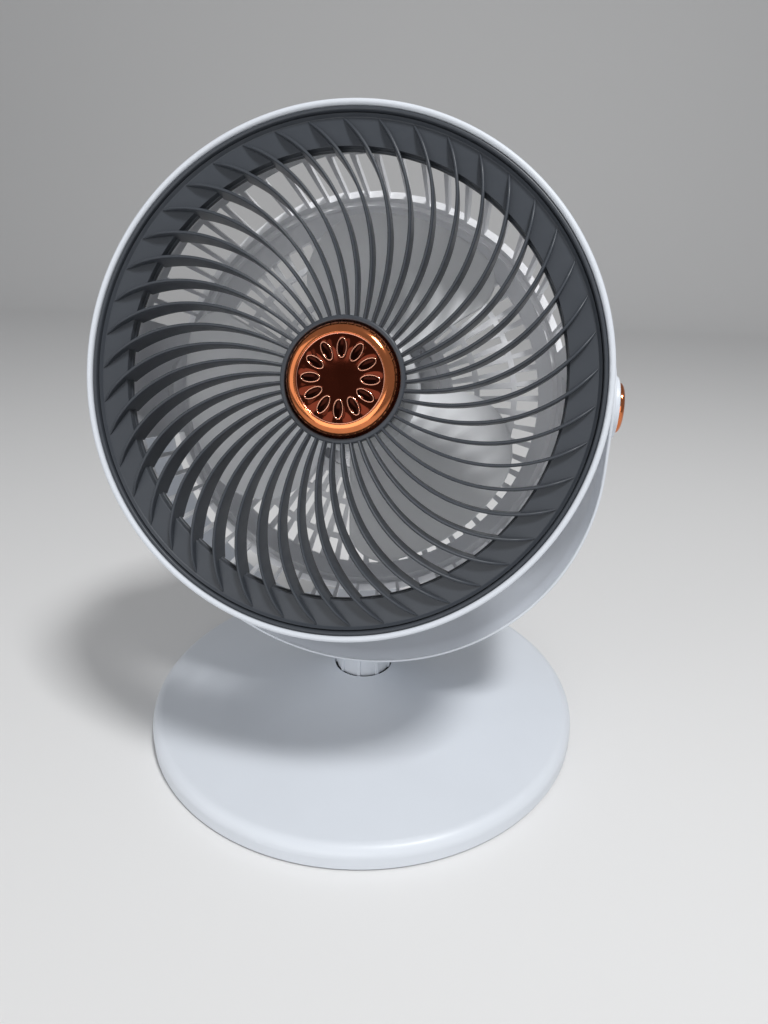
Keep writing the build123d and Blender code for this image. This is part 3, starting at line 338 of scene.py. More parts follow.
class Graph:
    """The node tree of one material."""

    def __init__(self, name: str) -> None:
        """Starts a material with an empty tree.

        Args:
            name: Name of the material.
        """
        self.material = bpy.data.materials.new(name)
        self.material.use_nodes = True
        self.tree = self.material.node_tree
        self.tree.nodes.clear()

    def node(self, kind: str, settings: dict, inputs: dict) -> bpy.types.Node:
        """Adds one node.

        Args:
            kind: Node type.
            settings: Properties, set before the sockets.
            inputs: Socket name or number to a number, colour, Value or output socket.

        Returns:
            The node.
        """
        made = self.tree.nodes.new(kind)
        for key, value in settings.items():
            setattr(made, key, value)
        for key, value in inputs.items():
            socket = made.inputs[key]
            if isinstance(value, Value):
                self.tree.links.new(value.socket, socket)
            elif isinstance(value, bpy.types.NodeSocket):
                self.tree.links.new(value, socket)
            else:
                socket.default_value = value
        return made

    def place(self) -> bpy.types.NodeSocket:
        """Object coordinates."""
        return self.node("ShaderNodeTexCoord", {}, {}).outputs["Object"]

    def noise(self, size: float, detail: float = 3.0, stretch: Triple = (1, 1, 1)) -> Value:
        """Noise whose patches are about size millimetres across.

        Args:
            size: Patch size in millimetres.
            detail: Octaves.
            stretch: How much finer the patches are along each axis.

        Returns:
            A value about 0.5.
        """
        mapped = self.node("ShaderNodeMapping", {}, {"Vector": self.place(), "Scale": stretch})
        node = self.node("ShaderNodeTexNoise", {},
                         {"Vector": mapped.outputs[0], "Scale": 1 / (size * MM), "Detail": detail})
        return Value(self, node.outputs[0])

    def mixed(self, share: Value, first: tuple, second: tuple) -> bpy.types.NodeSocket:
        """Colour between two colours."""
        node = self.node("ShaderNodeMix", {"data_type": "RGBA"},
                         {0: share, 6: (*first, 1.0), 7: (*second, 1.0)})
        return node.outputs[2]

    def bump(self, height: Value, distance: float, strength: float = 1.0,
             under: bpy.types.NodeSocket | None = None) -> bpy.types.NodeSocket:
        """Normal bent by a height.

        Args:
            height: The height.
            distance: Its depth in millimetres.
            strength: Share of it that shows.
            under: A normal that is already bent, to bend further.

        Returns:
            The normal.
        """
        inputs = {"Height": height, "Distance": distance * MM, "Strength": strength}
        if under is not None:
            inputs["Normal"] = under
        return self.node("ShaderNodeBump", {}, inputs).outputs[0]

    def surface(self, inputs: dict) -> bpy.types.Material:
        """Ends the tree in a Principled surface.

        Args:
            inputs: Socket name to a number, colour, Value or output socket.

        Returns:
            The finished material.
        """
        shader = self.node("ShaderNodeBsdfPrincipled", {}, inputs)
        self.node("ShaderNodeOutputMaterial", {}, {"Surface": shader.outputs[0]})
        return self.material


def scaled(colour: Triple, share: float) -> Triple:
    """Colour made lighter or darker."""
    return tuple(min(c * share, 1.0) for c in colour)


@dataclass(frozen=True)
class Moulded:
    """Moulded plastic or rubber.

    Attributes:
        name: Material name.
        colour: Screen colour.
        roughness: Mean roughness.
        tone: Share by which the colour wanders.
        grain_size: Width of the mould's texture in millimetres.
        grain_depth: Its depth in millimetres.
        coat: Weight of a clear gloss coat.
        coat_roughness: Roughness of that coat.
        shine: Strength of the plain reflection, 0.5 for a usual plastic.
        ripple_depth: Depth of the slow waves in the surface, in millimetres.
        ripple_share: Share of them that shows.
        index: Index of refraction.
        wander_size: Width of the patches of tone in millimetres.
        mark_size: Width of the handling marks in millimetres.
        ripple_size: Width of the slow waves in millimetres.
    """

    name: str
    colour: Triple
    roughness: float
    tone: float = 0.03
    grain_size: float = 0.5
    grain_depth: float = 0.02
    coat: float = 0.0
    coat_roughness: float = 0.2
    shine: float = 0.5
    ripple_depth: float = 0.03
    ripple_share: float = 0.2
    index: float = 1.49
    wander_size: float = 38.0
    mark_size: float = 9.0
    ripple_size: float = 14.0

    def material(self) -> bpy.types.Material:
        """Tone wanders over centimetres, handling marks change the gloss, the mould leaves a fine grain.

        Returns:
            The material.
        """
        graph = Graph(self.name)
        base = from_srgb(*self.colour)
        broad = graph.noise(self.wander_size, 2).step(0.3, 0.7)
        marks = graph.noise(self.mark_size, 4, (1.0, 1.0, 2.2)).step(0.35, 0.75)
        grain = graph.noise(self.grain_size, 2)
        ripple = graph.noise(self.ripple_size, 1)
        share = broad * 0.7 + grain * 0.3
        roughness = self.roughness - 0.04 + 0.07 * marks + 0.04 * grain
        fine = graph.bump(grain, self.grain_depth)
        return graph.surface({
            "Base Color": graph.mixed(share, scaled(base, 1 - self.tone), scaled(base, 1 + self.tone)),
            "Roughness": roughness, "Normal": graph.bump(ripple, self.ripple_depth, self.ripple_share, fine),
            "Coat Weight": self.coat, "Coat Roughness": self.coat_roughness, "IOR": self.index,
            "Specular IOR Level": self.shine,
        })


@dataclass(frozen=True)
class Metal:
    """Plated, turned or rolled metal.

    Attributes:
        name: Material name.
        colour: Screen colour.
        roughness: Mean roughness.
        scratch_size: Width of the tool marks in millimetres.
        scratch_depth: Their depth in millimetres.
        stretch: How much finer the marks are along each axis.
        tone: Share by which the colour wanders.
        wander_size: Width of the patches of tone in millimetres.
    """

    name: str
    colour: Triple
    roughness: float
    scratch_size: float = 0.4
    scratch_depth: float = 0.003
    stretch: Triple = (1, 1, 1)
    tone: float = 0.06
    wander_size: float = 6.0

    def material(self) -> bpy.types.Material:
        """Fine marks bend the reflections and a slow wander changes tone and gloss.

        Returns:
            The material.
        """
        graph = Graph(self.name)
        base = from_srgb(*self.colour)
        marks = graph.noise(self.scratch_size, 3, self.stretch)
        broad = graph.noise(self.wander_size, 3).step(0.3, 0.7)
        return graph.surface({
            "Base Color": graph.mixed(broad, scaled(base, 1 - self.tone), scaled(base, 1 + self.tone)),
            "Metallic": 1.0, "Roughness": self.roughness * 0.85 + broad * (self.roughness * 0.3),
            "Normal": graph.bump(marks, self.scratch_depth),
        })


Finish = Moulded | Metal


@dataclass
class FinishBook:
    """Every finish of the fan; the material of each is made once and kept by its name."""

    made: dict[str, bpy.types.Material] = field(default_factory=dict)

    white: Moulded = Moulded("satin_white", (215, 220, 227), 0.38, tone=0.015, grain_size=0.45,
                             grain_depth=0.003, coat=0.05, coat_roughness=0.3, shine=0.38)
    # Darker copy of the satin white, for the drum's rim bead: painted shade.
    rim_painted_shade_white: Moulded = Moulded("rim_painted_shade_white", (205, 210, 217), 0.42, tone=0.015, grain_size=0.45,
                                 grain_depth=0.003, shine=0.3)
    inner_white: Moulded = Moulded("inner_white", (204, 209, 217), 0.42, tone=0.015, grain_size=0.45,
                                   grain_depth=0.006)
    slate: Moulded = Moulded("slate_grille", (60, 64, 70), 0.36, tone=0.05, grain_size=0.35,
                             grain_depth=0.01, shine=0.3)
    lattice: Moulded = Moulded("white_lattice", (238, 239, 242), 0.4, tone=0.02, grain_depth=0.01)
    blade: Moulded = Moulded("frosted_blade", (238, 240, 243), 0.36, tone=0.02, grain_size=0.6,
                             grain_depth=0.008)
    rubber: Moulded = Moulded("black_rubber", (34, 34, 35), 0.75, tone=0.08, grain_size=0.3,
                              grain_depth=0.03)
    dark_plastic: Moulded = Moulded("dark_washer", (48, 48, 51), 0.5)
    board: Moulded = Moulded("coated_board", (24, 84, 56), 0.35)
    natural: Moulded = Moulded("natural_bush", (222, 220, 210), 0.45)
    copper: Metal = Metal("copper_plating", (212, 126, 80), 0.11, scratch_size=0.8, scratch_depth=0.002)
    # Lighter copper for the ornament's bead and petal outlines: a painted highlight on their crowns.
    painted_highlight_copper: Metal = Metal("painted_highlight_copper_plating", (232, 168, 142), 0.1, scratch_size=0.8,
                               scratch_depth=0.002)
    # Dark copper for the ornament's middle: its darkness is a painted reflection of dark surroundings.
    painted_dark_reflection_copper: Metal = Metal("painted_dark_reflection_copper_plating", (84, 36, 24), 0.1, scratch_size=1.2,
                               scratch_depth=0.002)
    # Near-black copper lining the petals' pits: painted shade.
    painted_shade_copper: Metal = Metal("painted_shade_copper_plating", (40, 16, 11), 0.14, scratch_size=1.2,
                                scratch_depth=0.002)
    zinc: Metal = Metal("zinc_steel", (186, 187, 190), 0.32, scratch_size=0.5, scratch_depth=0.004)
    ground: Metal = Metal("ground_steel", (214, 215, 218), 0.16, scratch_size=0.12,
                          scratch_depth=0.002, stretch=(1, 4, 1))
    laminate: Metal = Metal("laminated_steel", (110, 112, 118), 0.45, scratch_size=0.5,
                            scratch_depth=0.02, stretch=(0.3, 4, 4))
    iron: Metal = Metal("cast_ballast", (84, 84, 86), 0.6, scratch_size=0.9, scratch_depth=0.08)
    winding: Metal = Metal("enamelled_wire", (196, 110, 62), 0.28, scratch_size=0.3,
                           scratch_depth=0.05, stretch=(1, 3, 1))
    nut_brass: Metal = Metal("turned_brass", (216, 186, 112), 0.25, scratch_size=0.2,
                             scratch_depth=0.003)

    def slots(self) -> dict[str, Finish]:
        """The finish for each material slot of the record.

        Returns:
            Slot name to finish.
        """
        served = {
            self.white: ("base_shell", "button", "neck", "yoke_shell", "drum"),
            self.inner_white: ("bottom_plate", "yoke_inside"),
            self.slate: ("grille",),
            self.lattice: ("basket", "motor_cover"),
            self.blade: ("impeller",),
            self.copper: ("copper_trim",),
            self.rubber: ("feet",),
            self.dark_plastic: ("switch_block", "washer"),
            self.board: ("circuit_board",),
            self.natural: ("bushes",),
            self.zinc: ("screws", "inlet_shell", "spring_clip", "motor_steel"),
            self.ground: ("pins", "bearings", "axle"),
            self.laminate: ("stator", "rotor"),
            self.iron: ("ballast",),
            self.winding: ("windings",),
            self.nut_brass: ("nut",),
        }
        return {slot: finish for finish, slots in served.items() for slot in slots}

    def material(self, finish: Finish) -> bpy.types.Material:
        """The material of a finish, made at its first use.

        Args:
            finish: The finish.

        Returns:
            Its material.
        """
        if finish.name not in self.made:
            self.made[finish.name] = finish.material()
        return self.made[finish.name]

    def dress_construction(self) -> None:
        """Gives every node of the construction the finish of its slot."""
        finishes = self.slots()
        for entry in frame["record"]["subparts"]:
            node = frame["nodes"][entry["node"]]
            node.data.materials.clear()
            node.data.materials.append(self.material(finishes[entry["material_slot"]]))
        LOG.info("dressed %d construction nodes", len(frame["nodes"]))


FINISHES = FinishBook()


@dataclass(frozen=True)
class Piece:
    """One piece before it is made.

    Attributes:
        name: Its name.
        surface: Its surface, in millimetres.
        finish: What it is finished in.
        slot: The record's material slot.
        stands_for: Construction nodes that it is shown instead of.
        sharp_angle: Edges that turn by more degrees stay sharp.
    """

    name: str
    surface: Surface
    finish: Finish
    slot: str
    stands_for: tuple[str, ...] = ()
    sharp_angle: float = 40.0


class SubAssembly:
    """Pieces that ride on one body."""

    body: Body = Body.HEAD

    def pieces(self) -> list[Piece]:
        """The pieces, in the order in which they are made."""
        raise NotImplementedError

    def place(self, points: np.ndarray) -> np.ndarray:
        """Right, up, depth to the row frame; pieces on the base and the yoke are there already."""
        return HEAD.place(points) if self.body in (Body.HEAD, Body.IMPELLER) else points

    def build(self) -> None:
        """Makes each piece, gives it its finish and hangs it on the body."""
        for piece in self.pieces():
            made = make_mesh(piece.name, piece.surface.placed(self.place), piece.sharp_angle)
            made.data.materials.append(FINISHES.material(piece.finish))
            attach(made, self.body.value)
            if piece.stands_for:
                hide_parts(*piece.stands_for)
            LOG.info("%s: %d faces on %s", piece.name, len(made.data.polygons), self.body.value)


# --------------------------------------------------------------------- front grille
@dataclass
class FrontGrille(SubAssembly):
    """Slate grille: spiral ribs, flat band with a bead, and the cup of the hub. Turns are degrees."""

    rib_count: int = 45
    rib_half: float = 0.62
    tip_half: float = 0.56
    rib_root: float = 23.7
    rib_tip: float = 93.9
    fade_start: float = 80.0
    crest: float = 1.15
    rib_lap: float = 0.9
    rib_sunk: float = 0.6
    hub_radius: float = 24.7
    hub_front: float = 51.7
    hub_wall: float = 2.0
    hub_depth: float = 6.2
    hub_floor_thickness: float = 2.0
    hub_draft: float = 0.2
    rib_start: float = 1.12
    turn_slope: float = 0.1771
    turn_bend: float = 0.00314
    back_at_root: float = 47.9
    back_at_band: float = 50.8
    front_radii: tuple[float, ...] = (23.7, 33.0, 44.7, 55.0, 65.0, 75.0, 84.0, 90.0, 93.9)
    front_depths: tuple[float, ...] = (51.3, 54.2, 56.6, 58.7, 60.4, 61.3, 61.2, 60.2, 58.1)
    band_inner: float = 84.0
    band_front: float = 57.8
    band_edge: float = 94.6
    band_thickness: float = 2.0
    wall_depth: float = 2.8
    ledge: float = 0.45
    ledge_depth: float = 3.0
    lip: float = 85.8
    lip_depth: float = 4.6
    step_width: tuple[float, float] = (0.4, 0.5)
    step_height: float = 1.3
    groove: tuple[float, float] = (95.15, 95.65)
    groove_depth: float = 0.6
    bead_front: float = 60.4
    skirt_back: float = 50.0
    skirt_inner: float = 95.6
    outside: float = 97.2

    def ribs(self) -> Surface:
        """All ribs, each a rounded section carried along its spiral.

        At radius R the spiral has turned by slope * (R - hub) + bend * (R - hub) squared. The section
        is two sides, a flat rear edge and a half-round front, and it narrows a little towards the tip:
        past the fade's start its width shrinks with the root of 1 - 0.9 * share ** 10.

        Returns:
            The ribs in right, up, depth.
        """
        share = np.linspace(0, 1, 60)
        radius = self.rib_root + (self.rib_tip - self.rib_root) * share
        past = radius - self.hub_radius
        turn = np.radians(self.rib_start + self.turn_slope * past + self.turn_bend * past**2)
        spine = np.stack([radius * np.cos(turn), radius * np.sin(turn)], axis=1)
        along = np.gradient(spine, axis=0)
        along /= np.linalg.norm(along, axis=1, keepdims=True)
        across = np.stack([-along[:, 1], along[:, 0]], axis=1)
        fade = np.clip((radius - self.fade_start) / (self.rib_tip - self.fade_start), 0, 1)
        half = (self.rib_half + (self.tip_half - self.rib_half) * fade) * np.sqrt(1 - 0.9 * fade**10)
        front = through(self.front_radii, self.front_depths, radius)
        slope = (self.back_at_band - self.back_at_root) / (self.band_inner - self.rib_root)
        under = self.back_at_root + slope * (radius - self.rib_root)
        back = np.where(radius > self.band_inner + self.rib_lap, self.band_front - self.rib_sunk, under)
        bend = np.linspace(0, math.pi, 8)
        side = np.concatenate([[-1, 1], np.cos(bend)])
        rise = np.concatenate([[0, 0], np.ones(8)])
        crown = np.concatenate([[0, 0], np.sin(bend) - 1])
        place = spine[:, None, :] + across[:, None, :] * (half[:, None] * side)[:, :, None]
        depth = back[:, None] + (front - back)[:, None] * rise + half[:, None] * self.crest * crown
        sections = np.concatenate([place, depth[:, :, None]], axis=2)
        return repeated(self._capped(sections), self.rib_count)

    def _capped(self, sections: np.ndarray) -> Surface:
        """Sections as a tube whose end sections shrink to their middles.

        Args:
            sections: Array (sections, points, 3).

        Returns:
            The closed tube.
        """
        ends = [sections[:1].mean(axis=1, keepdims=True), sections[-1:].mean(axis=1, keepdims=True)]
        rows = [np.broadcast_to(e, sections[:1].shape) for e in ends]
        return grid(np.concatenate([rows[0], sections, rows[1]]), close_columns=True)

    def band(self) -> Surface:
        """Flat band, its inner wall with a ledge, the groove and the bead, turned round the centre line.

        Returns:
            The band in right, up, depth.
        """
        front, back = self.band_front, self.band_front - self.band_thickness
        ledge, lip_back = self.band_inner - self.ledge, front - self.lip_depth
        before, behind = self.step_width
        step, floor = front + self.step_height, front - self.groove_depth
        groove_in, groove_out = self.groove
        outline = rounded([
            (ledge, lip_back), (ledge, front - self.ledge_depth), (self.band_inner, front - self.wall_depth),
            (self.band_inner, front), (self.band_edge - before, front), (self.band_edge + behind, step),
            (groove_in, step), (groove_in, floor), (groove_out, floor), (groove_out, self.bead_front),
            (self.outside, self.bead_front), (self.outside, self.skirt_back),
            (self.skirt_inner, self.skirt_back), (self.skirt_inner, back), (self.lip, back),
            (self.lip, lip_back),
        ], [0.3, 0.25, 0.1, 0.3, 0.5, 0.35, 0.2, 0.15, 0.15, 0.7, 0.7, 0.3, 0.3, 0.3, 0.5, 0.3], 4)
        return lathe(outline, 360)

    def hub_cup(self) -> Surface:
        """Cup behind the ornament: a ring wall with a rounded front edge, and a floor.

        Returns:
            The cup in right, up, depth.
        """
        back = self.hub_front - self.hub_depth
        floor = back + self.hub_floor_thickness
        inner = self.hub_radius - self.hub_wall
        outline = rounded([
            (0, back), (self.hub_radius - self.hub_draft, back), (self.hub_radius, self.hub_front),
            (inner, self.hub_front), (inner, floor), (0, floor),
        ], [0, 0.8, 0.9, 0.35, 0.3, 0], 6, closed=False)
        return lathe(outline, 192, closed=False)

    def pieces(self) -> list[Piece]:
        """Ribs, band and hub cup."""
        return [
            Piece("grille_ribs", self.ribs(), FINISHES.slate, "grille", stands_for=("front_grille",),
                  sharp_angle=50),
            Piece("grille_band", self.band(), FINISHES.slate, "grille"),
            Piece("grille_hub_cup", self.hub_cup(), FINISHES.slate, "grille"),
        ]


# --------------------------------------------------------------------- hub ornament
@dataclass
class HubOrnament(SubAssembly):
    """Plated disc in the hub: a knurled edge, a crowned ring, a dark middle whose darkness is a painted
    reflection, and twelve petals with painted highlights on their outlines and painted shade in their pits.
    """

    edge_radius: float = 22.5
    edge_front: float = 51.1
    back: float = 47.5
    ring_outer: float = 21.9
    ring_inner: float = 17.6
    ring_front: float = 55.5
    ring_flat: float = 0.35
    ring_wall: float = 0.5
    seat_width: float = 0.4
    seat_depth: float = 0.6
    tuck: float = 1.5
    bead_radius: float = 17.05
    bead_section: float = 0.28
    bead_lift: float = 0.12
    dish_radius: float = 16.8
    dish_front: float = 54.6
    dish_drop: float = 0.12
    flute_count: int = 104
    flute_depth: float = 0.26
    flute_reach: float = 0.35
    petal_count: int = 12
    petal_circle: float = 11.6
    petal_length: float = 7.4
    petal_width: float = 3.6
    petal_pit: float = 0.75
    pit_clearance: float = 0.25
    pit_reach: float = 1.08
    pit_slope: float = 0.4
    bowl_skin: float = 0.06
    bowl_lift: float = 0.05
    wire: float = 0.24
    wire_lift: float = 0.1
    lobe_height: float = 0.3
    lobe_circle: float = 13.0
    lobe_width: float = 2.8
    lobe_reach: float = 0.9
    hollow_depth: float = 0.3
    hollow_radius: float = 8.0

    def ring(self) -> Surface:
        """Ring: its front is a quarter ellipse, and its edge's radius swings with the flutes.

        Returns:
            The ring in right, up, depth.
        """
        foot = self.edge_front + self.edge_radius - self.ring_outer
        bend = np.linspace(0, math.pi / 2, 15)
        crown = np.stack([self.ring_inner + (self.ring_outer - self.ring_inner) * np.cos(bend),
                          foot + (self.ring_front - foot) * np.sin(bend)], axis=1)
        bore = self.dish_radius - self.tuck
        edge = rounded([
            (bore, self.back), (self.edge_radius, self.back), (self.edge_radius, self.edge_front),
            tuple(crown[0]),
        ], [0, 0.2, 0.25, 0], 4, closed=False)
        inside = rounded([
            tuple(crown[-1]), (self.ring_inner - self.ring_flat, self.ring_front),
            (self.ring_inner - self.ring_wall, self.dish_front),
            (self.dish_radius - self.seat_width, self.dish_front - self.seat_depth), (bore, self.back),
        ], [0, 0.3, 0.2, 0.2, 0], 4, closed=False)
        outline = np.vstack([edge, crown[1:-1], inside[:-1]])
        steps = self.flute_count * 8
        angle = np.arange(steps) * 2 * math.pi / steps
        radius = outline[:, 0]
        fluted = np.clip((radius - self.ring_outer + self.flute_reach) / self.flute_reach, 0, 1)
        swing = -self.flute_depth * (0.5 + 0.5 * np.cos(self.flute_count * angle))
        return lathe(outline, steps, radii=radius + np.outer(swing, fluted))

    def bead(self) -> Surface:
        """Thin bead between the ring and the middle, in copper with a painted highlight: a circle carried
        round the centre line.
        """
        turn = np.arange(16) * 2 * math.pi / 16
        return lathe(np.stack([self.bead_radius + self.bead_section * np.cos(turn),
                               self.dish_front + self.bead_lift + self.bead_section * np.sin(turn)],
                              axis=1), 240)

    def _petal_reach(self, x: np.ndarray, y: np.ndarray) -> np.ndarray:
        """How far a point lies out in the nearest petal's ellipse: 0 at its middle, 1 on its outline.

        Args:
            x: Places to the right.
            y: Places upwards.

        Returns:
            The share for each place.
        """
        step = 2 * math.pi / self.petal_count
        angle = np.arctan2(y, x)
        near = np.round(angle / step) * step
        along = np.hypot(x, y) * np.cos(angle - near) - self.petal_circle
        beside = np.hypot(x, y) * np.sin(angle - near)
        return np.hypot(along / (self.petal_length / 2), beside / (self.petal_width / 2))

    def dish(self) -> Surface:
        """Middle, its darkness a painted reflection: a shallow bowl with soft lobes between the petals and a
        pit under each petal.

        Height is the bowl's, plus a lobe that rises with minus the cosine of twelve times the angle,
        less a smooth pit inside each ellipse. A flat back closes it.

        Returns:
            The dish in right, up, depth.
        """
        angle = np.arange(480) * 2 * math.pi / 480
        radius = np.linspace(0, self.dish_radius, 96)
        x = np.outer(np.cos(angle), radius)
        y = np.outer(np.sin(angle), radius)
        reach = self._petal_reach(x, y)
        ring = np.exp(-(((radius - self.lobe_circle) / self.lobe_width) ** 2))
        lobe = -self.lobe_height * np.outer(np.cos(self.petal_count * angle), ring)
        hollow = self.hollow_depth * np.exp(-((radius / self.hollow_radius) ** 4))
        bowl = self.dish_front - self.dish_drop - hollow
        inside = np.clip((self.pit_reach - reach) / self.pit_slope, 0, 1)
        pit = (self.petal_pit + self.pit_clearance) * inside
        top = np.stack([x, y, bowl + lobe * (reach > self.lobe_reach) - pit], axis=-1)
        under = np.stack([x[:, ::-1], y[:, ::-1], np.full(x.shape, self.back)], axis=-1)
        return grid(np.concatenate([top, under], axis=1), close_rows=True)

    def _at_petals(self, along: np.ndarray, beside: np.ndarray, depth: np.ndarray,
                   tube: bool = False) -> Surface:
        """One petal's grid, closed round its rows, and round its columns for a tube, at every petal."""
        points = np.stack([self.petal_circle + along, beside, np.broadcast_to(depth, along.shape)], axis=-1)
        return repeated(grid(points, close_rows=True, close_columns=tube), self.petal_count)

    def petal_shade_linings(self) -> Surface:
        """Near-black linings of the petals, painted shade in their pits: half ellipsoids, as thin closed
        shells.

        Returns:
            The linings in right, up, depth.
        """
        around = np.arange(44) * 2 * math.pi / 44
        out = np.sin(np.linspace(0, math.pi / 2, 13))
        reach = np.concatenate([out, out[::-1]])
        sink = np.concatenate([np.zeros(13), np.full(13, self.bowl_skin)])
        along = np.outer(np.cos(around), reach) * self.petal_length / 2
        beside = np.outer(np.sin(around), reach) * self.petal_width / 2
        hollow = self.petal_pit * np.sqrt(1 - np.minimum(reach, 1.0) ** 2)
        return self._at_petals(along, beside, self.dish_front + self.bowl_lift - hollow - sink)

    def petal_outlines(self) -> Surface:
        """Thin raised wires round the petals, in copper with a painted highlight: a circle carried along each
        ellipse.

        Returns:
            The wires in right, up, depth.
        """
        around = np.arange(56) * 2 * math.pi / 56
        section = np.arange(8) * 2 * math.pi / 8
        out = np.stack([np.cos(around) / self.petal_length, np.sin(around) / self.petal_width], axis=1)
        out /= np.linalg.norm(out, axis=1, keepdims=True)
        along = (np.cos(around) * self.petal_length / 2)[:, None] + out[:, :1] * np.cos(section) * self.wire
        beside = (np.sin(around) * self.petal_width / 2)[:, None] + out[:, 1:] * np.cos(section) * self.wire
        depth = self.dish_front + self.wire_lift + np.sin(section) * self.wire
        return self._at_petals(along, beside, depth, tube=True)

    def pieces(self) -> list[Piece]:
        """Ring, bead, dish, and the petals' bowls and outlines."""
        return [
            Piece("ornament_ring", self.ring(), FINISHES.copper, "copper_trim",
                  stands_for=("hub_ornament",), sharp_angle=55),
            # Painted light on the ornament: highlights on the bead and outlines, a dark reflection on the
            # dish, shade in the petals' pits.
            Piece("ornament_bead", self.bead(), FINISHES.painted_highlight_copper, "copper_trim", sharp_angle=80),
            Piece("ornament_dish", self.dish(), FINISHES.painted_dark_reflection_copper, "copper_trim", sharp_angle=50),
            Piece("petal_shade_linings", self.petal_shade_linings(), FINISHES.painted_shade_copper, "copper_trim", sharp_angle=60),
            Piece("petal_outlines", self.petal_outlines(), FINISHES.painted_highlight_copper, "copper_trim",
                  sharp_angle=80),
        ]


# -------------------------------------------------------------------------- impeller
@dataclass
class Impeller(SubAssembly):
    """Three-bladed impeller on a domed hub. Angles are degrees."""

    body: Body = Body.IMPELLER
    blade_count: int = 3
    first_angle: float = 33.0
    span: float = 90.0
    radius: float = 74.0
    root: float = 25.4
    front: float = 33.0
    back: float = 13.5
    front_round: float = 14.0
    back_round: float = 26.0
    thickness: float = 2.2
    edge_reach: float = 1.3
    edge_half: float = 0.02
    tip_thinning: float = 0.3
    belly: float = 1.0
    belly_at_root: float = 0.3
    hub_radius: float = 27.0
    hub_front: float = 34.0
    hub_back: float = 12.0
    hub_ceiling: float = 31.6
    inner_wall: float = 24.6
    bore: float = 3.05
    boss: float = 7.0
    boss_back: float = 7.2
    nut_wall: float = 11.4
    nut_wall_back: float = 26.6
    nut_floor: float = 29.0
    recess_mouth: float = 9.4
    recess_foot: float = 9.0

    def _outline(self, angle: np.ndarray) -> np.ndarray:
        """Outer radius of a blade at an angle past its front edge.

        Between the two rounded corners it is the blade's radius. At a corner, whose circle of
        radius p has its middle at c = radius - p and asin(p / c) inside the edge, a ray at an
        angle d from that middle leaves the circle at c cos d + sqrt(p^2 - c^2 sin^2 d).

        Args:
            angle: Radians past the front edge.

        Returns:
            Radii.
        """
        reach = np.full(angle.shape, self.radius)
        span = math.radians(self.span)
        for size, from_edge in ((self.front_round, angle), (self.back_round, span - angle)):
            middle = self.radius - size
            inset = math.asin(size / middle)
            off = from_edge - inset
            arc = middle * np.cos(off) + np.sqrt(np.maximum(size**2 - (middle * np.sin(off)) ** 2, 0))
            reach = np.where(from_edge < inset, arc, reach)
        return reach

    def blade(self) -> Surface:
        """First blade: a helicoid slab whose depth falls evenly with the angle.

        It is bellied by the sine of the way along, and its half thickness falls to nothing at the edges
        as the root of 1 - (1 - distance / reach) squared.

        Returns:
            The blade in right, up, depth.
        """
        t = 0.5 - 0.5 * np.cos(np.linspace(0, math.pi, 73))
        v = 1 - (1 - np.linspace(0, 1, 41)) ** 1.6
        angle = t * math.radians(self.span)
        reach = self._outline(angle)
        radius = self.root + np.outer(reach - self.root, v)
        along = np.broadcast_to(t[:, None], radius.shape)
        fullness = self.belly_at_root + (1 - self.belly_at_root) * v
        belly = -self.belly * np.sin(math.pi * along) * fullness[None, :]
        depth = self.front + (self.back - self.front) * along + belly
        to_edge = np.minimum(np.minimum(along, 1 - along) * radius * math.radians(self.span),
                             (reach[:, None] - radius))
        shape = np.sqrt(1 - (1 - np.clip(to_edge / self.edge_reach, 0, 1)) ** 2)
        half = (self.thickness / 2) * (1 - self.tip_thinning * v)[None, :] * shape + self.edge_half
        way = math.radians(self.first_angle) + angle[:, None] + 0 * radius
        x, y = radius * np.cos(way), radius * np.sin(way)
        upper = np.stack([x, y, depth + half], axis=-1)
        lower = np.stack([x, y, depth - half], axis=-1)
        loop = np.concatenate([upper, lower[:, ::-1]], axis=1)
        ends = np.stack([loop[0], loop[-1]])
        middle = 0.5 * (ends + ends[:, ::-1])
        rows = np.concatenate([middle[:1], loop, middle[1:]])
        return grid(rows, close_columns=True)

    def hub(self) -> Surface:
        """Hub: a cup with a rounded front, a recess for the nut and a boss round the axle."""
        outline = rounded([
            (self.bore, self.boss_back), (self.boss, self.boss_back), (self.boss, self.nut_wall_back),
            (self.nut_wall, self.nut_wall_back), (self.nut_wall, self.hub_ceiling),
            (self.inner_wall, self.hub_ceiling), (self.inner_wall, self.hub_back),
            (self.hub_radius, self.hub_back), (self.hub_radius, self.hub_front),
            (self.recess_mouth, self.hub_front), (self.recess_foot, self.nut_floor),
            (self.bore, self.nut_floor),
        ], [0, 0.4, 0.3, 0.3, 0.3, 1.0, 0.5, 0.5, 4.2, 0.7, 0.4, 0], 6)
        return lathe(outline, 160)

    def pieces(self) -> list[Piece]:
        """Blades and hub."""
        blades = repeated(self.blade(), self.blade_count)
        return [Piece("impeller_blades", blades, FINISHES.blade, "impeller", stands_for=("impeller",),
                      sharp_angle=60),
                Piece("impeller_hub", self.hub(), FINISHES.blade, "impeller")]


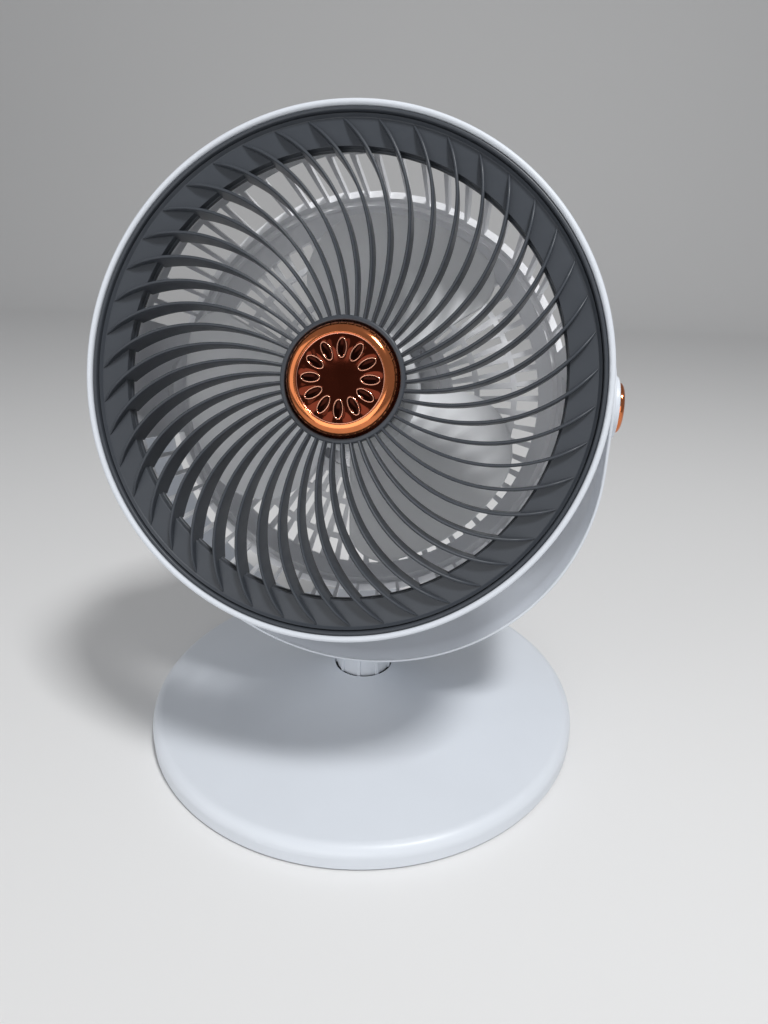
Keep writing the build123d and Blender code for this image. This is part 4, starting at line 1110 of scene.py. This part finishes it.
# ------------------------------------------------------------------------------ yoke
@dataclass
class Yoke(SubAssembly):
    """U-shaped yoke: an outer channel, a liner in it, and a boss with a plated cap on each arm."""

    body: Body = Body.YOKE
    half_width: float = 107.0
    bend_height: float = 146.5
    arm_rise: float = 23.0
    width: float = 44.0
    depth: float = 4.0
    thickness: float = 3.0
    wall: float = 1.2
    edge: float = 1.3
    lip: float = 0.8
    gap: float = 0.15
    liner_gap: float = 0.05
    liner_proud: float = 0.1
    crown: float = 6.0
    boss_radius: float = 13.5
    boss_draft: float = 0.1
    boss_height: float = 3.3
    inner_boss_radius: float = 8.0
    inner_boss_root: float = 0.6
    cap_radius: float = 10.8
    cap_height: float = 2.6
    cap_gap: float = 0.05
    cap_seat: float = 2.6
    cap_plug: float = 8.4
    cap_shoulder: tuple[float, float] = (1.3, 1.1)
    cap_crown: float = 0.2
    pin_hole: float = 3.5
    sunk: float = 0.4

    def strip(self, outline: np.ndarray, steps_round: int = 40, steps_side: int = 150) -> Surface:
        """Layers of a stadium bent into the yoke's U.

        Each layer of the outline has a distance from the strip's edge and a distance inwards from
        its outer face. A stadium of that size is drawn flat, then wrapped: the flat length follows
        a half circle under the bend height and the straight arms above it.

        Args:
            outline: Array (n, 2) of distance from the edge, and distance inwards.
            steps_round: Steps on each round end.
            steps_side: Steps on each long side.

        Returns:
            The strip in the row frame.
        """
        half_round = math.pi * self.half_width / 2
        centre = half_round + self.arm_rise
        bend = np.linspace(-math.pi / 2, math.pi / 2, steps_round + 1)
        run = np.linspace(centre, -centre, steps_side + 1)[1:-1]
        unit_s = np.concatenate([np.cos(bend), 0 * run, -np.cos(bend), 0 * run])
        unit_y = np.concatenate([np.sin(bend), 0 * run + 1, np.sin(-bend), 0 * run - 1])
        base_s = np.concatenate([0 * bend + centre, run, 0 * bend - centre, -run])
        radius = np.maximum(self.width / 2 - outline[:, 0], 0)[:, None]
        s = base_s[None, :] + radius * unit_s
        y = radius * unit_y
        inwards = np.broadcast_to(outline[:, 1][:, None], s.shape)
        angle = np.clip(s, -half_round, half_round) / self.half_width
        rise = np.maximum(np.abs(s) - half_round, 0)
        reach = self.half_width - inwards
        z = self.bend_height - reach * np.cos(angle) + rise
        return grid(np.stack([reach * np.sin(angle), y, z], axis=-1), close_columns=True)

    def channel(self) -> Surface:
        """Outer channel: outer face, thin rounded edge, narrow lip and recessed floor.

        Returns:
            The channel in the row frame.
        """
        deep = self.width / 2
        outline = rounded([
            (deep, 0), (0, 0), (0, self.edge), (self.lip, self.edge), (self.lip, self.wall),
            (deep, self.wall),
        ], [0, 0.7, 0.4, 0.03, 0, 0], 6, closed=False)
        return self.strip(outline)

    def inner_liner(self) -> Surface:
        """Liner inside the lip; its face swells gently from the lip to full thickness.

        Returns:
            The liner in the row frame.
        """
        deep, foot = self.width / 2, self.wall + self.liner_gap
        side = self.lip + self.gap
        outline = rounded([
            (deep, foot), (side, foot), (side, self.edge + self.liner_proud), (self.crown, self.thickness),
            (deep, self.thickness),
        ], [0, 0, 0.04, 20, 0], 12, closed=False)
        return self.strip(outline)

    def inner_boss(self) -> Surface:
        """Round boss on an arm's inner face, up to the tilt washer, open for the pin.

        Returns:
            The boss, turned about the tilt axis.
        """
        foot = self.half_width - self.thickness + self.inner_boss_root
        face = self.half_width - self.depth
        return lathe(rounded([(self.pin_hole, foot), (self.inner_boss_radius, foot),
                              (self.inner_boss_radius, face), (self.pin_hole, face)], [0, 0, 0.4, 0], 4), 96)

    def boss(self) -> Surface:
        """Round boss on an arm's outer face, with a soft edge.

        Returns:
            The boss, turned about the tilt axis.
        """
        outer, foot = self.half_width + self.boss_height, self.half_width - self.sunk
        inner, root = self.cap_radius - self.cap_seat, self.boss_radius + self.boss_draft
        return lathe(rounded([(inner, outer), (self.boss_radius, outer), (root, foot), (inner, foot)],
                             [0, 0.8, 0, 0], 6), 96)

    def cap(self) -> Surface:
        """Plated cap: a low disc with a rounded edge and a slightly crowned face, on a short plug.

        Returns:
            The cap, turned about the tilt axis.
        """
        foot = self.half_width + self.boss_height + self.cap_gap
        top = foot + self.cap_height
        across, down = self.cap_shoulder
        outline = rounded([
            (0, foot - self.sunk), (self.cap_plug, foot - self.sunk), (self.cap_plug, foot),
            (self.cap_radius, foot), (self.cap_radius, top - down),
            (self.cap_radius - across, top - self.cap_crown), (0, top),
        ], [0, 0, 0, 0.2, 0.9, 1.6, 0], 8, closed=False)
        return lathe(outline, 128, closed=False)

    def pieces(self) -> list[Piece]:
        """Channel, liner, and the bosses and cap of each arm.

        Returns:
            The pieces, in the order in which they are made.
        """
        made = [Piece("yoke_channel", self.channel(), FINISHES.white, "yoke_shell",
                      stands_for=("yoke_bracket",)),
                Piece("yoke_inner_liner", self.inner_liner(), FINISHES.inner_white, "yoke_inside",
                      stands_for=("yoke_liner",))]
        bosses = joined([self.boss(), self.inner_boss()])
        for side, word in ((1, "right"), (-1, "left")):
            place = beside_arm(side)
            made += [Piece(f"arm_boss_{word}", bosses.placed(place), FINISHES.white, "yoke_shell"),
                     Piece(f"arm_cap_{word}", self.cap().placed(place), FINISHES.copper, "copper_trim",
                           stands_for=(f"pivot_cap_{word}",))]
        return made


# -------------------------------------------------------------------- mound and neck
@dataclass
class MoundCrown(SubAssembly):
    """Top of the base's mound, carried on with the same sweep right up to the neck."""

    body: Body = Body.BASE
    foot_radius: float = 68.0
    foot_height: float = 12.0
    foot_slope: float = 1 / 37
    top_radius: float = 19.0
    top_height: float = 24.0
    inner_radius: float = 14.95
    nose: float = 0.5
    skin: float = 0.015
    overlap: float = 0.6
    sunk_inside: float = 0.3
    sunk_outside: float = 0.9

    def sweep(self, radius: np.ndarray) -> np.ndarray:
        """Height of the mound's arc: it leaves the foot along its slope and passes through the top.

        The circle's centre lies on the normal at the foot, at a distance of chord squared over
        twice the chord's part along that normal.

        Args:
            radius: Distances from the axis.

        Returns:
            Heights above the ground.
        """
        lean = math.atan(self.foot_slope)
        normal = np.array([math.sin(lean), math.cos(lean)])
        chord = np.array([self.top_radius - self.foot_radius, self.top_height - self.foot_height])
        bend = (chord @ chord) / (2 * chord @ normal)
        centre = np.array([self.foot_radius, self.foot_height]) + bend * normal
        return centre[1] - np.sqrt(bend**2 - (radius - centre[0]) ** 2)

    def crown(self) -> Surface:
        """Ring on the mound's flat top, with a softened lip at the neck.

        Returns:
            The ring in the row frame.
        """
        outer, inner = self.top_radius + self.overlap, self.inner_radius + self.nose
        radius = np.linspace(outer, inner, 14)
        flank = np.stack([radius, self.sweep(radius) + self.skin], axis=1)
        lip = float(self.sweep(np.array([inner]))[0]) - self.nose
        turn = np.linspace(0, math.pi / 2, 6)[1:]
        nose = np.stack([inner - self.nose * np.sin(turn), lip + self.nose * np.cos(turn)], axis=1)
        under = np.array([[self.inner_radius, self.top_height - self.sunk_inside],
                          [outer, self.top_height - self.sunk_outside]])
        return lathe(np.vstack([flank, nose, under]), 128)

    def pieces(self) -> list[Piece]:
        """The crown alone."""
        return [Piece("mound_crown", self.crown(), FINISHES.white, "base_shell")]


@dataclass
class NeckCollar(SubAssembly):
    """Neck under the yoke: a hollow shaft in the base, a collar on it, and ribs round the collar."""

    body: Body = Body.YOKE
    bore: float = 6.5
    shaft: float = 10.0
    shaft_foot: float = 5.4
    groove_depth: float = 1.4
    groove_foot: float = 6.8
    groove_top: float = 8.0
    collar: float = 13.85
    collar_foot: float = 24.9
    collar_top: float = 40.35
    rib_count: int = 9
    rib_width: float = 2.0
    rib_proud: float = 0.7
    rib_sunk: float = 0.6
    rib_above_foot: float = 0.1
    rib_below_top: float = 0.05

    def shaft_and_collar(self) -> Surface:
        """Shaft and collar, turned; the collar ends in the yoke's bottom wall.

        Returns:
            Both as one surface, in the row frame.
        """
        groove = self.shaft - self.groove_depth
        outline = rounded([
            (self.bore, self.shaft_foot), (self.shaft, self.shaft_foot), (self.shaft, self.groove_foot),
            (groove, self.groove_foot), (groove, self.groove_top), (self.shaft, self.groove_top),
            (self.shaft, self.collar_foot), (self.collar, self.collar_foot), (self.collar, self.collar_top),
            (self.bore, self.collar_top),
        ], [0, 0.5, 0, 0, 0, 0, 0, 0.3, 0, 0], 4)
        return lathe(outline, 128)

    def rib(self) -> Surface:
        """Upright rib with a rounded front: a section on the first axis, drawn out from foot to top.

        Returns:
            The rib on the right of the collar.
        """
        half, root, front = self.rib_width / 2, self.collar - self.rib_sunk, self.collar + self.rib_proud
        section = rounded([(root, -half), (front, -half), (front, half), (root, half)], [0, 0.35, 0.35, 0], 4)
        ends = np.array([self.collar_foot + self.rib_above_foot, self.collar_top - self.rib_below_top])
        size = (2, len(section))
        wall = np.stack([np.broadcast_to(section[:, 0], size), np.broadcast_to(section[:, 1], size),
                         np.broadcast_to(ends[:, None], size)], axis=-1)
        middles = np.broadcast_to(wall.mean(axis=1, keepdims=True), wall.shape)
        return grid(np.concatenate([middles[:1], wall, middles[1:]]), close_columns=True)

    def pieces(self) -> list[Piece]:
        """Shaft, collar and ribs as one piece."""
        neck = joined([self.shaft_and_collar(), repeated(self.rib(), self.rib_count, -math.pi / 2)])
        return [Piece("neck_body", neck, FINISHES.white, "neck", stands_for=("neck_collar",))]


# -------------------------------------------------------------------------- drum rim
@dataclass
class DrumRim(SubAssembly):
    """Turned skin on the drum's front edge: a half-round bead on short straight sides, in a darker white as
    painted shade.
    """

    outer: float = 99.6
    inner: float = 97.4
    front: float = 61.2
    length: float = 3.4
    skin: float = 0.03
    overlap: float = 0.05
    top: float = 283.385

    def place(self, points: np.ndarray) -> np.ndarray:
        """The head's own placing, kept level with the drum at its very top."""
        return np.minimum(HEAD.place(points), [math.inf, math.inf, self.top])

    def bead(self) -> Surface:
        """The bead, a hair proud of the drum's own edge.

        Returns:
            The bead in right, up, depth.
        """
        back = self.front - self.length
        wall = (self.outer - self.inner) / 2
        middle = (self.outer + self.inner) / 2
        bend = np.linspace(0, math.pi, 25)
        crown = np.stack([middle + (wall + self.skin) * np.cos(bend),
                          self.front - wall + (wall + self.skin) * np.sin(bend)], axis=1)
        outline = np.vstack([
            [self.inner, back], [self.outer, back], [self.outer + self.skin, back + self.overlap], crown,
            [self.inner - self.skin, back + self.overlap],
        ])
        return lathe(outline, 256)

    def pieces(self) -> list[Piece]:
        """The bead alone."""
        # The darker white of the bead is painted shade.
        return [Piece("drum_rim_bead", self.bead(), FINISHES.rim_painted_shade_white, "drum")]


# ---------------------------------------------------------------------------- studio
@dataclass(frozen=True)
class Lamp:
    """Square soft lamp.

    Attributes:
        name: Its name.
        place: Where it stands, in metres.
        size: Side in metres.
        power: Watts.
    """

    name: str
    place: Triple
    size: float
    power: float

    def hang(self, aim: Triple) -> None:
        """Adds the lamp, turned towards its aim.

        Args:
            aim: Where it points, in metres.
        """
        data = bpy.data.lights.new(self.name, "AREA")
        data.size = self.size
        data.energy = self.power
        lamp = bpy.data.objects.new(self.name, data)
        lamp.location = self.place
        lamp.rotation_euler = (Vector(aim) - Vector(self.place)).to_track_quat("-Z", "Y").to_euler()
        bpy.context.scene.collection.objects.link(lamp)


@dataclass
class Studio:
    """Pale floor and backdrop, soft lamps and the camera. Angles are radians."""

    lamps: tuple[Lamp, ...] = (
        Lamp("key", (0.44, -0.46, 1.25), 0.22, 12), Lamp("left", (-1.1, -1.0, 0.8), 1.0, 3),
        Lamp("front", (-0.15, -1.4, 0.2), 1.0, 6.4),
    )
    aim: Triple = (0, 0, 0.15)
    sky_colour: Triple = (0.97, 0.98, 1.0)
    sky_strength: float = 0.3
    floor_colour: Triple = (226, 226, 226)
    floor_reach: float = 3000.0
    floor_curve: float = 500.0
    floor_back: float = 1500.0
    camera_place: Triple = (56.3, -306.1, 242.0)
    pan: float = 0.03124
    pitch: float = 0.3967
    roll: float = 0.01607
    head_yaw: float = 0.182
    focal_pixels: float = 690.0
    frame_height: float = 1024.0
    sensor: float = 36.0
    clip: tuple[float, float] = (0.01, 50)

    def camera(self) -> None:
        """Camera where the photograph was taken: pan, pitch and roll, then turned with the fan's own yaw."""
        level = math.cos(self.pitch)
        forward = Vector((math.sin(self.pan) * level, math.cos(self.pan) * level, -math.sin(self.pitch)))
        right = forward.cross(Vector((0, 0, 1))).normalized()
        up = right.cross(forward)
        c, s = math.cos(self.roll), math.sin(self.roll)
        right, up = c * right + s * up, c * up - s * right
        turn = Matrix.Rotation(self.head_yaw, 3, "Z")
        right, up, forward = turn @ right, turn @ up, turn @ forward
        axes = Matrix((right, up, -forward)).transposed().to_4x4()
        lens = bpy.data.cameras.new("camera")
        lens.sensor_fit = "AUTO"
        lens.sensor_width = self.sensor
        lens.lens = self.focal_pixels / self.frame_height * self.sensor
        lens.clip_start, lens.clip_end = self.clip
        camera = bpy.data.objects.new("camera", lens)
        camera.matrix_world = Matrix.Translation(Vector(self.camera_place) * MM) @ axes
        bpy.context.scene.collection.objects.link(camera)
        bpy.context.scene.camera = camera

    def floor(self) -> None:
        """Floor that curves up into a backdrop: flat, then a quarter circle, then a wall."""
        bend, far, curve = np.linspace(0, math.pi / 2, 24), self.floor_reach, self.floor_curve
        y = np.concatenate([[-far], self.floor_back + curve * np.sin(bend), [self.floor_back + curve]])
        z = np.concatenate([[0.0], curve - curve * np.cos(bend), [far]])
        size = (len(y), 2)
        points = np.stack([np.broadcast_to([-far, far], size), np.broadcast_to(y[:, None], size),
                           np.broadcast_to(z[:, None], size)], axis=-1)
        piece = make_mesh("studio_floor", grid(points), sharp_angle=60)
        pale = (*from_srgb(*self.floor_colour), 1.0)
        piece.data.materials.append(Graph("studio_floor").surface({"Base Color": pale, "Roughness": 0.85}))

    def world(self) -> None:
        """Even light from all round."""
        sky = bpy.data.worlds.new("studio")
        sky.use_nodes = True
        light = sky.node_tree.nodes["Background"].inputs
        light["Color"].default_value = (*self.sky_colour, 1)
        light["Strength"].default_value = self.sky_strength
        bpy.context.scene.world = sky

    def build(self) -> None:
        """Sets the whole studio."""
        self.floor()
        self.world()
        for lamp in self.lamps:
            lamp.hang(self.aim)
        self.camera()
        bpy.context.scene.view_settings.view_transform = "Standard"
        LOG.info("studio set")


def main() -> None:
    """Builds the fan's pieces in order, then the studio."""
    logging.basicConfig(level=logging.INFO, format="%(message)s")
    FINISHES.dress_construction()
    for kind in (FrontGrille, HubOrnament, Impeller, MoundCrown, NeckCollar, DrumRim, Yoke, Studio):
        kind().build()


if __name__ == "__main__":
    main()
